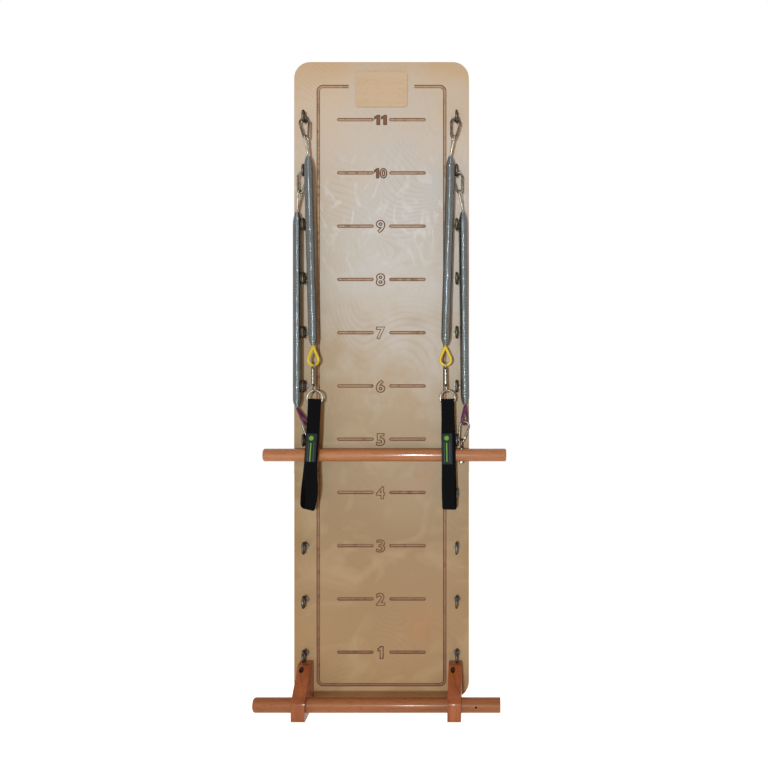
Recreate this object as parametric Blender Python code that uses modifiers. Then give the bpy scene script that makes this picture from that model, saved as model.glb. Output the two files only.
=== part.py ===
"""Pilates spring board: a wall panel with two handle springs, two bar springs and a foot bar.

Metres, +Z up, the front of the board faces -Y. The origin is the centre of the board's
back face, which lies flat on the wall.
"""
import math

import bmesh
import bpy
import numpy as np
from mathutils import Matrix, Vector

# Fit between neighbouring pieces
GAP = 0.0003
LINK_GAP = 0.0009
EYE_LINK_GAP = 0.0014
SNAP_LINK_GAP = 0.0010
CUT_MARGIN = 0.005
MERGE_DISTANCE = 0.00001

# Board
BOARD_WIDTH = 0.500
BOARD_HEIGHT = 1.820
BOARD_THICKNESS = 0.030
BOARD_CORNER_RADIUS = 0.046
BOARD_EDGE_ROUND = 0.005
LEVEL_COUNT = 11
TOP_LEVEL_INSET = 0.165
BOTTOM_LEVEL_INSET = 0.131
SLOT_WIDTH = 0.010
SLOT_DEPTH = 0.0035
SLOT_START = 0.022
SLOT_LENGTH = 0.105
SLOT_END_SHARE = 0.5
FRAME_SIDE_INSET = 0.069
FRAME_TOP_INSET = 0.070
FRAME_BOTTOM_INSET = 0.038
FRAME_CORNER_RADIUS = 0.014
FRAME_PLATE_MARGIN = 0.020
PLATE_WIDTH = 0.148
PLATE_HEIGHT = 0.101
PLATE_THICKNESS = 0.006
PLATE_TOP_INSET = 0.0285
PLATE_CORNER_RADIUS = 0.008
PLATE_EDGE_ROUND = 0.0015

# Eye bolts in the board
EYE_SPACING = 0.432
EYE_STAND_OFF = 0.040
EYE_OUTER = 0.036
EYE_WIRE = 0.007
EYE_SHANK = 0.008
EYE_SHANK_LENGTH = 0.063
NUT_ACROSS_CORNERS = 0.015
NUT_THICKNESS = 0.006
WASHER_DIAMETER = 0.020
WASHER_THICKNESS = 0.0016

# Foot bar and its two blocks
FOOT_BAR_DIAMETER = 0.041
FOOT_BAR_LENGTH = 0.680
FOOT_BAR_SHIFT = -0.002
FOOT_BAR_HEIGHT = 0.017
FOOT_BAR_STAND_OFF = 0.107
FOOT_BAR_END_ROUND = 0.008
FOOT_BAR_FLAT_ROUND = 0.001
FOOT_BAR_SCREW_HOLE = 0.006
FOOT_BAR_SCREW_DEPTH = 0.008
FOOT_BAR_SCREW_FROM_END = 0.067
BLOCK_THICKNESS = 0.037
BLOCK_SPACING = 0.424
BLOCK_TOP = 0.109
BLOCK_TOP_DEPTH = 0.045
BLOCK_NOSE_HEIGHT = 0.035
BLOCK_NOSE_DEPTH = 0.150
BLOCK_HANG = 0.018
BLOCK_CORNER_RADIUS = 0.010
BLOCK_EDGE_ROUND = 0.006
BLOCK_SCREW_HOLE = 0.013
BLOCK_SCREW_DEPTH = 0.012
BLOCK_SCREW_RUN = 0.020
BLOCK_SCREW_DROP = 0.018
BLOCK_SCREW_SHIFT = -0.006

# Carabiners
HOOK_LENGTH = 0.064
HOOK_WIDTH = 0.032
HOOK_NARROW_WIDTH = 0.020
HOOK_WIRE = 0.006
HOOK_NOSE = 0.003
HOOK_HEEL = 0.004
GATE_KNUCKLE = 0.0064
GATE_KNUCKLE_LENGTH = 0.008
GATE_NOSE_GAP = 0.0006

# Springs and their wire loops
SPRING_DIAMETER = 0.0256
SPRING_STRIP = 0.0024
SPRING_TURNS = 17
TOP_CONE_TURNS = 3
LOWER_CONE_TURNS = 2
SPRING_TURN_POINTS = 8
SPRING_TURN_GAP = 0.0012
SPRING_NECK_SHARE = 0.45
SPRING_TOP_CONE = 0.036
SPRING_LOWER_CONE = 0.024
HANDLE_SPRING_LENGTH = 0.532
LOOP_NECK = 0.003
LOOP_STEM = 0.0048
LOOP_HEAD_DEPTH = 0.0085
LOOP_HEAD_THICKNESS = 0.0025
TOP_LOOP_WIRE = 0.005
TOP_LOOP_SPAN = 0.057
TOP_LOOP_WIDTH = 0.027
LOWER_LOOP_WIRE = 0.007
LOWER_LOOP_SPAN = 0.052
LOWER_LOOP_WIDTH = 0.038

# Bolt snap, D-ring and hand strap
SNAP_WIRE = 0.0045
SNAP_EYE_OUTER = 0.020
SNAP_LENGTH = 0.0776
SNAP_BARREL = 0.0100
SNAP_BARREL_BOTTOM = 0.014
SNAP_BARREL_CHAMFER = 0.003
SNAP_CROWN_SHARE = 0.6
SNAP_COLLAR_SHARE = 1.2
SNAP_COLLAR_SINK = 0.0015
SNAP_BORE_CAP = 0.006
SNAP_STEM_SHARE = 0.7
SNAP_BOLT = 0.0036
SNAP_BOLT_OFFSET = 0.0058
SNAP_TRAVEL = 0.009
SNAP_KNOB = 0.0065
SNAP_KNOB_HEIGHT = 0.040
SNAP_KNOB_SHARE = 0.7
SNAP_SLOT_REACH = 0.010
SNAP_TURN = math.radians(15)
SNAP_TIP_RISE = 0.0060
SNAP_TIP_CLEARANCE = 0.002
SNAP_ROOT_INSET = 0.001
SNAP_ROOT_RISE = 0.006
SNAP_SHOULDER_INSET = 0.005
SNAP_SHOULDER_RISE = 0.002
SNAP_BACK_TOP = 0.011
SNAP_BACK_FOOT = 0.003
SNAP_BACK_BULGE = 0.0008
SNAP_HEEL_OFFSET = 0.006
SNAP_HEEL_RISE = 0.0018
SNAP_SEAT_SHIFT = 0.0005
SNAP_TOE_INSET = 0.0008
SNAP_TOE_RISE = 0.0022
D_WIDTH = 0.046
D_HEIGHT = 0.0343
D_WIRE = 0.0045
D_CORNER_RADIUS = 0.003
D_SHIFT = 0.0045
STRAP_LENGTH = 0.309
STRAP_DEPTH = 0.025
STRAP_PLY = 0.0029
STRAP_STITCHED = 0.045
STRAP_FLARE = 0.050
STRAP_PIN_GAP = 0.0009
STRAP_FORK_SHARE = 0.25

# Roll-down bar
ROLL_BAR_DIAMETER = 0.036
ROLL_BAR_LENGTH = 0.685
ROLL_BAR_SHIFT = 0.0135
ROLL_BAR_DROP = 0.0416
ROLL_BAR_EYE_SPACING = 0.426
ROLL_BAR_EYE_SHIFT = 0.003
ROLL_BAR_END_ROUND = 0.005
BAR_EYE_OUTER = 0.028
BAR_EYE_WIRE = 0.006
BAR_EYE_SHANK = 0.0068
BAR_EYE_SINK = 0.001
BAR_EYE_SHANK_END = 0.003
BAR_WASHER_DIAMETER = 0.014
BAR_WASHER_SINK = 0.003
BAR_NUT_ACROSS_CORNERS = 0.012
BAR_NUT_THICKNESS = 0.005
BAR_NUT_SINK = 0.002

# Where the hanging chains lie at rest: x at the spring's top, its foot and the pull's end
HANDLE_LEVEL = 11
BAR_LEVEL = 10
REST_LEVEL = 5
HANDLE_SPRING_TOP_Y = -0.0865
HANDLE_SPRING_FOOT_Y = -0.097
HANDLE_CHAINS = {
    "left": {"top_x": -0.200, "foot_x": -0.184, "ring_x": -0.182, "strap_lean": 0.048,
             "strap_turn": math.radians(10), "top_turn": math.radians(75),
             "low_turn": math.radians(33)},
    "right": {"top_x": 0.200, "foot_x": 0.185, "ring_x": 0.187, "strap_lean": -0.018,
              "strap_turn": math.radians(-6), "top_turn": math.radians(105),
              "low_turn": math.radians(0)},
}
BAR_CHAINS = {
    "left": {"top_x": -0.2335, "foot_x": -0.2335, "link_x": -0.2062,
             "top_turn": math.radians(72), "low_turn": math.radians(80)},
    "right": {"top_x": 0.2335, "foot_x": 0.240, "link_x": 0.2393,
              "top_turn": math.radians(72), "low_turn": math.radians(60)},
}

WIRE_SIDES_RESOLUTION = 1
LEVEL_PITCH = (BOARD_HEIGHT - TOP_LEVEL_INSET - BOTTOM_LEVEL_INSET) / (LEVEL_COUNT - 1)
BOARD_FRONT = -BOARD_THICKNESS
EYE_Y = BOARD_FRONT - EYE_STAND_OFF
EYE_MID_RADIUS = (EYE_OUTER - EYE_WIRE) / 2
EYE_INNER_RADIUS = EYE_OUTER / 2 - EYE_WIRE
HOOK_SPAN = HOOK_LENGTH - HOOK_WIRE
HOOK_SEAT = EYE_INNER_RADIUS - HOOK_WIRE / 2 - EYE_LINK_GAP
D_DROP = D_HEIGHT - D_WIRE
STRAP_WIDTH = D_WIDTH - 2 * D_WIRE - 2 * GAP
UNIT_Z = Vector((0, 0, 1))


def start_clean():
    """Empty the scene and return a collection for the parts and one for the cutters."""
    for item in list(bpy.data.objects):
        bpy.data.objects.remove(item, do_unlink=True)
    made = []
    for name in ("pilates_spring_board", "cutters"):
        group = bpy.data.collections.new(name)
        bpy.context.scene.collection.children.link(group)
        made.append(group)
    return made


PARTS, CUTTERS = start_clean()


def material(name, colour, roughness, metallic=0.0):
    """A Principled material with one colour."""
    look = bpy.data.materials.new(name)
    look.use_nodes = True
    shader = look.node_tree.nodes["Principled BSDF"]
    shader.inputs["Base Color"].default_value = (*colour, 1.0)
    shader.inputs["Roughness"].default_value = roughness
    shader.inputs["Metallic"].default_value = metallic
    look.diffuse_color = (*colour, 1.0)
    return look


BIRCH = material("birch_ply", (0.58, 0.46, 0.32), 0.45)
PLATE_WOOD = material("pale_plate", (0.68, 0.50, 0.29), 0.5)
BEECH = material("stained_beech", (0.42, 0.14, 0.05), 0.4)
ZINC = material("zinc_plated", (0.45, 0.44, 0.42), 0.3, 1.0)
SPRING_STEEL = material("spring_steel", (0.30, 0.33, 0.34), 0.35, 1.0)
YELLOW = material("yellow_coated", (0.72, 0.45, 0.02), 0.4)
PURPLE = material("purple_coated", (0.10, 0.01, 0.08), 0.4)
WEBBING = material("black_webbing", (0.01, 0.01, 0.01), 0.85)


def weld(mesh):
    """Merge the doubled points that caps and seams leave."""
    work = bmesh.new()
    work.from_mesh(mesh)
    bmesh.ops.remove_doubles(work, verts=work.verts, dist=MERGE_DISTANCE)
    bmesh.ops.recalc_face_normals(work, faces=work.faces)
    work.to_mesh(mesh)
    work.free()


def baked(piece):
    """The plain mesh that a piece's curve and modifiers make; the piece itself goes."""
    bpy.context.view_layer.update()
    graph = bpy.context.evaluated_depsgraph_get()
    mesh = bpy.data.meshes.new_from_object(piece.evaluated_get(graph), depsgraph=graph)
    weld(mesh)
    matrix = piece.matrix_world.copy()
    bpy.data.objects.remove(piece, do_unlink=True)
    mesh.transform(matrix)
    return mesh


def add_object(name, data, look=None, group=None):
    """Link a new object; with no group it waits among the cutters until it is used."""
    piece = bpy.data.objects.new(name, data)
    (group or CUTTERS).objects.link(piece)
    if look:
        data.materials.clear()
        data.materials.append(look)
    return piece


def finished(name, mesh, look):
    """A rigid piece in the parts collection, smooth but for its sharp edges."""
    mesh.shade_smooth()
    mesh.set_sharp_from_angle(angle=math.radians(35))
    return add_object(name, mesh, look, PARTS)


def wire_curve(name, points, radius, cyclic=False, radii=None):
    """A six-sided wire along the points."""
    curve = bpy.data.curves.new(name, "CURVE")
    curve.dimensions = "3D"
    curve.bevel_depth = radius
    curve.bevel_resolution = WIRE_SIDES_RESOLUTION
    curve.use_fill_caps = True
    spline = curve.splines.new("POLY")
    spline.points.add(len(points) - 1)
    spline.use_cyclic_u = cyclic
    spline.use_smooth = True
    for index, point in enumerate(points):
        spline.points[index].co = (*point, 1.0)
        spline.points[index].radius = radii[index] if radii else 1.0
    return curve


def wire_mesh(points, radius, cyclic=False, radii=None):
    """The same wire as a mesh, for joining and cutting."""
    return baked(add_object("wire", wire_curve("wire", points, radius, cyclic, radii)))


def turned_mesh(profile, steps, matrix=None):
    """A turned solid: (radius, height) points from the top of the axis to its foot."""
    mesh = bpy.data.meshes.new("profile")
    edges = [(n, n + 1) for n in range(len(profile) - 1)]
    mesh.from_pydata([(r, 0.0, z) for r, z in profile], edges, [])
    piece = add_object("turned", mesh)
    turn = piece.modifiers.new("turn", "SCREW")
    turn.steps = steps
    turn.render_steps = steps
    turn.use_merge_vertices = True
    turn.merge_threshold = 5 * MERGE_DISTANCE
    solid = baked(piece)
    if matrix:
        solid.transform(matrix)
    return solid


def disc(radius, top, bottom):
    """The profile of a plain disc or rod."""
    return [(0.0, top), (radius, top), (radius, bottom), (0.0, bottom)]


def flat_curve(name, outlines, thickness):
    """A flat plate from closed outlines, the first outside and the rest holes."""
    curve = bpy.data.curves.new(name, "CURVE")
    curve.dimensions = "2D"
    curve.fill_mode = "BOTH"
    curve.extrude = thickness / 2
    for outline in outlines:
        spline = curve.splines.new("POLY")
        spline.points.add(len(outline) - 1)
        spline.use_cyclic_u = True
        for index, (x, y) in enumerate(outline):
            spline.points[index].co = (x, y, 0.0, 1.0)
    return curve


def arc(centre, radius, start, end, steps):
    """Points on a circle between two angles in degrees."""
    angles = [math.radians(start + (end - start) * n / steps) for n in range(steps + 1)]
    return [(centre[0] + radius * math.cos(a), centre[1] + radius * math.sin(a))
            for a in angles]


def rounded(corners, radius, steps=3):
    """An outline with each corner of a convex polygon rounded; corners run anticlockwise."""
    outline = []
    count = len(corners)
    for index, corner in enumerate(corners):
        here = Vector(corner)
        before = (Vector(corners[index - 1]) - here).normalized()
        after = (Vector(corners[(index + 1) % count]) - here).normalized()
        half = before.angle(after) / 2
        centre = here + (before + after).normalized() * radius / math.sin(half)
        first = here + before * radius / math.tan(half) - centre
        last = here + after * radius / math.tan(half) - centre
        start = math.degrees(math.atan2(first.y, first.x))
        sweep = math.degrees(first.angle_signed(last))
        outline += arc(centre, radius, start, start - sweep, steps)
    return outline


def rectangle(width, height, centre=(0.0, 0.0)):
    """The four corners of a rectangle, anticlockwise."""
    x, y = centre
    return [(x - width / 2, y - height / 2), (x + width / 2, y - height / 2),
            (x + width / 2, y + height / 2), (x - width / 2, y + height / 2)]


FACE_FRONT = Matrix.Rotation(math.radians(90), 4, "X")
FACE_SIDE = Matrix(((0, 0, 1, 0), (1, 0, 0, 0), (0, 1, 0, 0), (0, 0, 0, 1)))
ALONG_Y = FACE_FRONT
ALONG_X = Matrix.Rotation(math.radians(90), 4, "Y")


def plate_mesh(outlines, thickness, matrix):
    """A flat plate as a mesh, turned and moved into place."""
    mesh = baked(add_object("plate", flat_curve("plate", outlines, thickness)))
    mesh.transform(matrix)
    return mesh


def joined(meshes, cuts=()):
    """One body: the union of the meshes, less the cuts."""
    body = add_object("body", meshes[0])
    tools = []
    for operation, group in (("UNION", meshes[1:]), ("DIFFERENCE", cuts)):
        for mesh in group:
            tool = add_object("tool", mesh)
            step = body.modifiers.new(operation.lower(), "BOOLEAN")
            step.operation = operation
            step.solver = "EXACT"
            step.object = tool
            tools.append(tool)
    mesh = baked(body)
    for tool in tools:
        bpy.data.objects.remove(tool, do_unlink=True)
    return mesh


def cutter(name, meshes):
    """Several closed cutters kept as one hidden object."""
    work = bmesh.new()
    for mesh in meshes:
        work.from_mesh(mesh)
    together = bpy.data.meshes.new(name)
    work.to_mesh(together)
    work.free()
    piece = add_object(name, together)
    piece.hide_render = True
    piece.display_type = "WIRE"
    return piece


def cut_by(piece, tool):
    """Cut a piece with a kept cutter."""
    step = piece.modifiers.new("cut", "BOOLEAN")
    step.operation = "DIFFERENCE"
    step.solver = "EXACT"
    step.object = tool


def round_edges(piece, width, segments=2):
    """Round the sharp edges of a plate."""
    step = piece.modifiers.new("edges", "BEVEL")
    step.width = width
    step.segments = segments
    step.limit_method = "ANGLE"
    step.angle_limit = math.radians(60)


def level_height(level):
    """How high a numbered level lies above the origin."""
    top = BOARD_HEIGHT / 2 - TOP_LEVEL_INSET
    return top - (LEVEL_COUNT - level) * LEVEL_PITCH


def chain_frame(origin, down, turn=0.0):
    """A frame at origin whose -Z runs down a chain and whose X stays along the board."""
    up = -Vector(down).normalized()
    side = Vector((1, 0, 0))
    side = (side - up * side.dot(up)).normalized()
    basis = Matrix((side, up.cross(side), up)).transposed().to_4x4()
    return Matrix.Translation(origin) @ basis @ Matrix.Rotation(turn, 4, "Z")


def pivot(name, matrix):
    """An empty on a joint's axis, which carries the pieces that move with the joint."""
    empty = bpy.data.objects.new(name, None)
    empty.empty_display_size = 0.02
    PARTS.objects.link(empty)
    empty.matrix_world = matrix
    return empty


def hang(piece, empty, offset=None):
    """Put a piece on its pivot."""
    piece.parent = empty
    piece.matrix_basis = offset or Matrix()
    return piece


def point_below(start, length, x, y):
    """The point at x and y that lies a given length from start, below it."""
    across = (x - start.x) ** 2 + (y - start.y) ** 2
    return Vector((x, y, start.z - math.sqrt(length ** 2 - across)))


def groove_mesh(points, radii=None, cyclic=False):
    """The round-nosed cut of a router along a line on the board's front."""
    radius = SLOT_WIDTH / 2
    sink = radius - SLOT_DEPTH
    path = [(x, BOARD_FRONT - sink, z) for x, z in points]
    return wire_mesh(path, radius, cyclic, radii)


def make_board():
    """The panel with its level slots, its routed frame and blind holes for the eye bolts."""
    outline = rounded(rectangle(BOARD_WIDTH, BOARD_HEIGHT), BOARD_CORNER_RADIUS, 4)
    middle = Matrix.Translation((0, BOARD_FRONT / 2, 0))
    mesh = plate_mesh([outline], BOARD_THICKNESS, middle @ FACE_FRONT)
    board = finished("board", mesh, BIRCH)
    round_edges(board, BOARD_EDGE_ROUND, 1)
    cuts = []
    for level in range(1, LEVEL_COUNT + 1):
        for side in (-1, 1):
            cuts.append(make_slot_cut(side, level_height(level)))
            cuts.append(make_eye_hole(side, level_height(level)))
    cuts += make_frame_cuts()
    cut_by(board, cutter("board_cuts", cuts))


def make_slot_cut(side, height):
    """One level slot, with rounded ends."""
    radius = SLOT_WIDTH / 2
    start = SLOT_START
    end = SLOT_START + SLOT_LENGTH
    line = [start, start + radius, end - radius, end]
    shares = [SLOT_END_SHARE, 1, 1, SLOT_END_SHARE]
    return groove_mesh([(side * x, height) for x in line], shares)


def make_eye_hole(side, height):
    """The blind hole of one eye bolt."""
    radius = EYE_SHANK / 2 + GAP
    depth = EYE_SHANK_LENGTH - EYE_STAND_OFF + GAP
    profile = disc(radius, CUT_MARGIN, -depth)
    front = Matrix.Translation((side * EYE_SPACING / 2, BOARD_FRONT, height))
    return turned_mesh(profile, 6, front @ ALONG_Y)


def make_frame_cuts():
    """The routed frame line, open at the top where the name plate sits."""
    right = BOARD_WIDTH / 2 - FRAME_SIDE_INSET
    top = BOARD_HEIGHT / 2 - FRAME_TOP_INSET
    bottom = FRAME_BOTTOM_INSET - BOARD_HEIGHT / 2
    radius = FRAME_CORNER_RADIUS
    start = PLATE_WIDTH / 2 + FRAME_PLATE_MARGIN
    half = [(start, top)]
    half += arc((right - radius, top - radius), radius, 90, 0, 3)
    half += arc((right - radius, bottom + radius), radius, 0, -90, 3)
    return [groove_mesh(half + [(-x, z) for x, z in reversed(half)])]


def make_name_plate():
    """The bare wooden plate near the top."""
    outline = rounded(rectangle(PLATE_WIDTH, PLATE_HEIGHT), PLATE_CORNER_RADIUS, 3)
    height = BOARD_HEIGHT / 2 - PLATE_TOP_INSET - PLATE_HEIGHT / 2
    back = BOARD_FRONT - GAP - PLATE_THICKNESS / 2
    place = Matrix.Translation((0, back, height)) @ FACE_FRONT
    mesh = plate_mesh([outline], PLATE_THICKNESS, place)
    plate = finished("name_plate", mesh, PLATE_WOOD)
    round_edges(plate, PLATE_EDGE_ROUND, 1)


def ring_mesh(outer, wire, steps):
    """A wire ring round the origin, its hole along X and a flat side toward +Y."""
    radius = (outer - wire) / 2
    start = 180 / steps
    points = [(0.0, y, z) for y, z in arc((0, 0), radius, start, start + 360, steps)[:-1]]
    return wire_mesh(points, wire / 2, True)


def make_eye_bolts():
    """Twenty-two forged eye bolts, each with its jam nut and washer."""
    start = EYE_MID_RADIUS
    face = EYE_STAND_OFF - GAP
    washer = face - WASHER_THICKNESS
    shank = EYE_SHANK / 2
    nut = NUT_ACROSS_CORNERS / 2
    profile = [(0.0, -start), (shank, -start), (shank, NUT_THICKNESS - washer),
               (nut, NUT_THICKNESS - washer), (nut, -washer - GAP), (shank, -washer - GAP),
               (shank, -EYE_SHANK_LENGTH), (0.0, -EYE_SHANK_LENGTH)]
    stem = turned_mesh(profile, 6, ALONG_Y)
    plain = turned_mesh(disc(WASHER_DIAMETER / 2, -washer, -face), 8, ALONG_Y)
    ring = ring_mesh(EYE_OUTER, EYE_WIRE, 9)
    mesh = joined([ring, stem, plain])
    for side, word in ((-1, "left"), (1, "right")):
        for level in range(1, LEVEL_COUNT + 1):
            bolt = finished(f"eye_bolt_{word}_{level:02d}", mesh, ZINC)
            bolt.location = (side * EYE_SPACING / 2, EYE_Y, level_height(level))


def foot_bar_centre():
    """The middle of the foot bar."""
    height = FOOT_BAR_HEIGHT - BOARD_HEIGHT / 2
    return Vector((FOOT_BAR_SHIFT, BOARD_FRONT - FOOT_BAR_STAND_OFF, height))


def round_bar(diameter, length, steps, first_round, last_round):
    """A turned bar along X, with its two ends rounded."""
    radius = diameter / 2
    half = length / 2
    profile = [(0.0, half), (radius - last_round, half)]
    profile += arc((radius - last_round, half - last_round), last_round, 45, 0, 1)
    profile += arc((radius - first_round, first_round - half), first_round, 0, -45, 1)
    profile += [(radius - first_round, -half), (0.0, -half)]
    return turned_mesh(profile, steps, ALONG_X)


def make_foot_bar():
    """The fixed bar through both blocks, with one screw hole near its right end."""
    mesh = round_bar(FOOT_BAR_DIAMETER, FOOT_BAR_LENGTH, 16, FOOT_BAR_END_ROUND,
                     FOOT_BAR_FLAT_ROUND)
    bar = finished("foot_bar", mesh, BEECH)
    bar.location = foot_bar_centre()
    along = FOOT_BAR_LENGTH / 2 - FOOT_BAR_SCREW_FROM_END + FOOT_BAR_SHIFT
    centre = foot_bar_centre()
    place = Matrix.Translation((along, centre.y, centre.z)) @ ALONG_Y
    radius = FOOT_BAR_DIAMETER / 2
    profile = disc(FOOT_BAR_SCREW_HOLE / 2, radius + CUT_MARGIN, radius - FOOT_BAR_SCREW_DEPTH)
    hole = turned_mesh(profile, 6, place)
    cut_by(bar, cutter("foot_bar_cut", [hole]))


def make_blocks():
    """The two shaped blocks that carry the foot bar."""
    base = -BOARD_HEIGHT / 2
    bar = foot_bar_centre()
    back = BOARD_FRONT - GAP
    nose = BOARD_FRONT - BLOCK_NOSE_DEPTH
    top = base + BLOCK_TOP
    corners = [(nose, base - BLOCK_HANG), (back, base - BLOCK_HANG), (back, top),
               (BOARD_FRONT - BLOCK_TOP_DEPTH, top), (nose, base + BLOCK_NOSE_HEIGHT)]
    slope = (Vector(corners[4]) - Vector(corners[3])).normalized()
    outline = rounded(corners, BLOCK_CORNER_RADIUS, 3)
    for side, word in ((-1, "left"), (1, "right")):
        x = side * BLOCK_SPACING / 2
        mesh = plate_mesh([outline], BLOCK_THICKNESS, Matrix.Translation((x, 0, 0)) @ FACE_SIDE)
        block = finished(f"bracket_{word}", mesh, BEECH)
        round_edges(block, BLOCK_EDGE_ROUND, 1)
        reach = BLOCK_THICKNESS
        across = Matrix.Translation((x, bar.y, bar.z)) @ ALONG_X
        radius = FOOT_BAR_DIAMETER / 2 + GAP
        bore = turned_mesh(disc(radius, reach, -reach), 16, across)
        screw_y = corners[3][0] + slope.x * BLOCK_SCREW_DROP
        screw_z = corners[3][1] + slope.y * BLOCK_SCREW_DROP
        place = Matrix.Translation((x + BLOCK_SCREW_SHIFT, screw_y, screw_z)) @ ALONG_Y
        profile = disc(BLOCK_SCREW_HOLE / 2, BLOCK_SCREW_RUN, -BLOCK_SCREW_DEPTH)
        pocket = turned_mesh(profile, 8, place)
        cut_by(block, cutter(f"bracket_{word}_cuts", [bore, pocket]))


def hook_sides():
    """The carabiner's long side: where it leaves the wide bend, where it meets the narrow."""
    wide = (HOOK_WIDTH - HOOK_WIRE) / 2
    narrow = (HOOK_NARROW_WIDTH - HOOK_WIRE) / 2
    run = HOOK_SPAN - wide - narrow
    slant = math.asin((wide - narrow) / run)
    normal = Vector((math.cos(slant), -math.sin(slant)))
    upper = Vector((0.0, -wide)) + wide * normal
    lower = Vector((0.0, narrow - HOOK_SPAN)) + narrow * normal
    return wide, narrow, math.degrees(slant), upper, lower


def gate_line():
    """The gate's hinge centre, its direction and its length."""
    *_, upper, lower = hook_sides()
    along = (upper - lower).normalized()
    hinge = lower + along * (HOOK_HEEL + GAP + GATE_KNUCKLE / 2)
    tip = upper - along * (HOOK_NOSE + GATE_NOSE_GAP)
    return hinge, along, (tip - hinge).length


def hook_curve():
    """The carabiner's bent wire, open on its right side for the gate; top wire at origin."""
    wide, narrow, slant, upper, lower = hook_sides()
    along = (upper - lower).normalized()
    points = [upper - along * HOOK_NOSE]
    points += [Vector(p) for p in arc((0, -wide), wide, -slant, 180 + slant, 7)]
    low = (0, narrow - HOOK_SPAN)
    points += [Vector(p) for p in arc(low, narrow, 180 + slant, 360 - slant, 4)]
    points.append(lower + along * HOOK_HEEL)
    return wire_curve("hook_wire", [(p.x, 0.0, p.y) for p in points], HOOK_WIRE / 2)


def gate_mesh():
    """The carabiner's gate: a rod with a knuckle on its hinge pin, hinge at the origin."""
    hinge, along, length = gate_line()
    end = along * length
    rod = wire_mesh([(0, 0, 0), (end.x, 0, end.y)], HOOK_WIRE / 2)
    half = GATE_KNUCKLE_LENGTH / 2
    knuckle = turned_mesh(disc(GATE_KNUCKLE / 2, half, -half), 8, ALONG_Y)
    return joined([rod, knuckle])


HOOK = hook_curve()
GATE = gate_mesh()


def make_carabiner(name, body_pivot, top, gate_side):
    """A carabiner body on its pivot, top wire at a height there, and its gate."""
    turn = Matrix() if gate_side > 0 else Matrix.Rotation(math.pi, 4, "Z")
    place = Matrix.Translation((0, 0, top)) @ turn
    body = add_object(f"{name}_body", HOOK, ZINC, PARTS)
    hang(body, body_pivot, place)
    hinge = gate_line()[0]
    world = body_pivot.matrix_world @ place @ Matrix.Translation((hinge.x, 0, hinge.y))
    gate_pivot = pivot(f"{name}_gate_hinge", world)
    hang(finished(f"{name}_gate", GATE, ZINC), gate_pivot)
    return body


def teardrop(span, width, wire, steps):
    """The middle line of a teardrop loop: neck at the origin, far end at span."""
    radius = (width - wire) / 2
    centre = span - radius
    open_angle = math.degrees(math.asin(radius / centre))
    return [(0.0, 0.0)] + arc((0.0, centre), radius, -open_angle, 180 + open_angle, steps)


def loop_mesh(frame, toward, sizes, turn, steps):
    """A wire loop whose headed stem sits in the end of a spring.

    The frame is at the spring's end with +Z out of the spring; toward is the way, in the
    world, that the loop leans; turn is how far its plane is turned from the board's.
    """
    span, width, wire, head = sizes
    lean = (frame.to_3x3().transposed() @ Vector(toward)).normalized()
    across = frame.to_3x3().transposed() @ Vector((math.cos(turn), math.sin(turn), 0))
    across = (across - lean * across.dot(lean)).normalized()
    neck = UNIT_Z * LOOP_NECK
    line = [neck + across * a + lean * b for a, b in teardrop(span, width, wire, steps)]
    loop = wire_mesh(line, wire / 2, True)
    stem = LOOP_STEM / 2
    foot = -LOOP_HEAD_DEPTH - LOOP_HEAD_THICKNESS
    profile = [(0.0, LOOP_NECK + stem), (stem, LOOP_NECK), (stem, head - LOOP_HEAD_DEPTH - stem),
               (head, -LOOP_HEAD_DEPTH), (head, foot), (0.0, foot)]
    return joined([loop, turned_mesh(profile, 6)])


def turn_height(turn, length):
    """The height of the band's lower edge after so many turns up from the spring's foot.

    The turns are narrow in both cones and equally broad between them.
    """
    turns = [0, LOWER_CONE_TURNS, SPRING_TURNS + 1 - TOP_CONE_TURNS, SPRING_TURNS + 1]
    return float(np.interp(turn, turns, [-length, SPRING_LOWER_CONE - length, -SPRING_TOP_CONE, 0]))


def spring_mesh(length):
    """A close-wound spring down from the origin, coned at both ends.

    The real wire has about 200 turns. Here each broad turn stands for about fourteen of
    them, one unbroken band with a narrow seam between its turns.
    """
    radius = (SPRING_DIAMETER - SPRING_STRIP) / 2
    edge = SPRING_STRIP / 2
    section = [(-edge, edge), (0, 0), (edge, edge), (edge, -edge), (0, 0), (-edge, -edge)]
    count = len(section)
    mesh = bpy.data.meshes.new("band")
    mesh.from_pydata([(radius + x, 0.0, n * edge) for n, (x, z) in enumerate(section)],
                     [(n, (n + 1) % count) for n in range(count)], [])
    piece = add_object("band", mesh)
    wind = piece.modifiers.new("wind", "SCREW")
    wind.steps = SPRING_TURN_POINTS
    wind.render_steps = SPRING_TURN_POINTS
    wind.screw_offset = length / SPRING_TURNS
    wind.iterations = SPRING_TURNS
    coil = baked(piece)
    for vert in coil.vertices:
        turn = vert.index // count / SPRING_TURN_POINTS
        corner = vert.index % count
        if corner < count // 2:
            end = turn_height(turn, length) + SPRING_TURN_GAP / 2
        else:
            end = turn_height(turn + 1, length) - SPRING_TURN_GAP / 2
        height = end + section[corner][1]
        share = cone_share(-height, length)
        vert.co = (vert.co.x * share, vert.co.y * share, height)
    work = bmesh.new()
    work.from_mesh(coil)
    bmesh.ops.holes_fill(work, edges=work.edges)
    bmesh.ops.recalc_face_normals(work, faces=work.faces)
    work.to_mesh(coil)
    work.free()
    report_turn_gap(coil, count)
    return coil


def cone_share(depth, length):
    """The spring's radius at a depth below its top, as a share of the full radius."""
    near = min(depth / SPRING_TOP_CONE, (length - depth) / SPRING_LOWER_CONE, 1.0)
    ease = math.sin(max(near, 0.0) * math.pi / 2)
    return SPRING_NECK_SHARE + (1 - SPRING_NECK_SHARE) * ease


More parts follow.
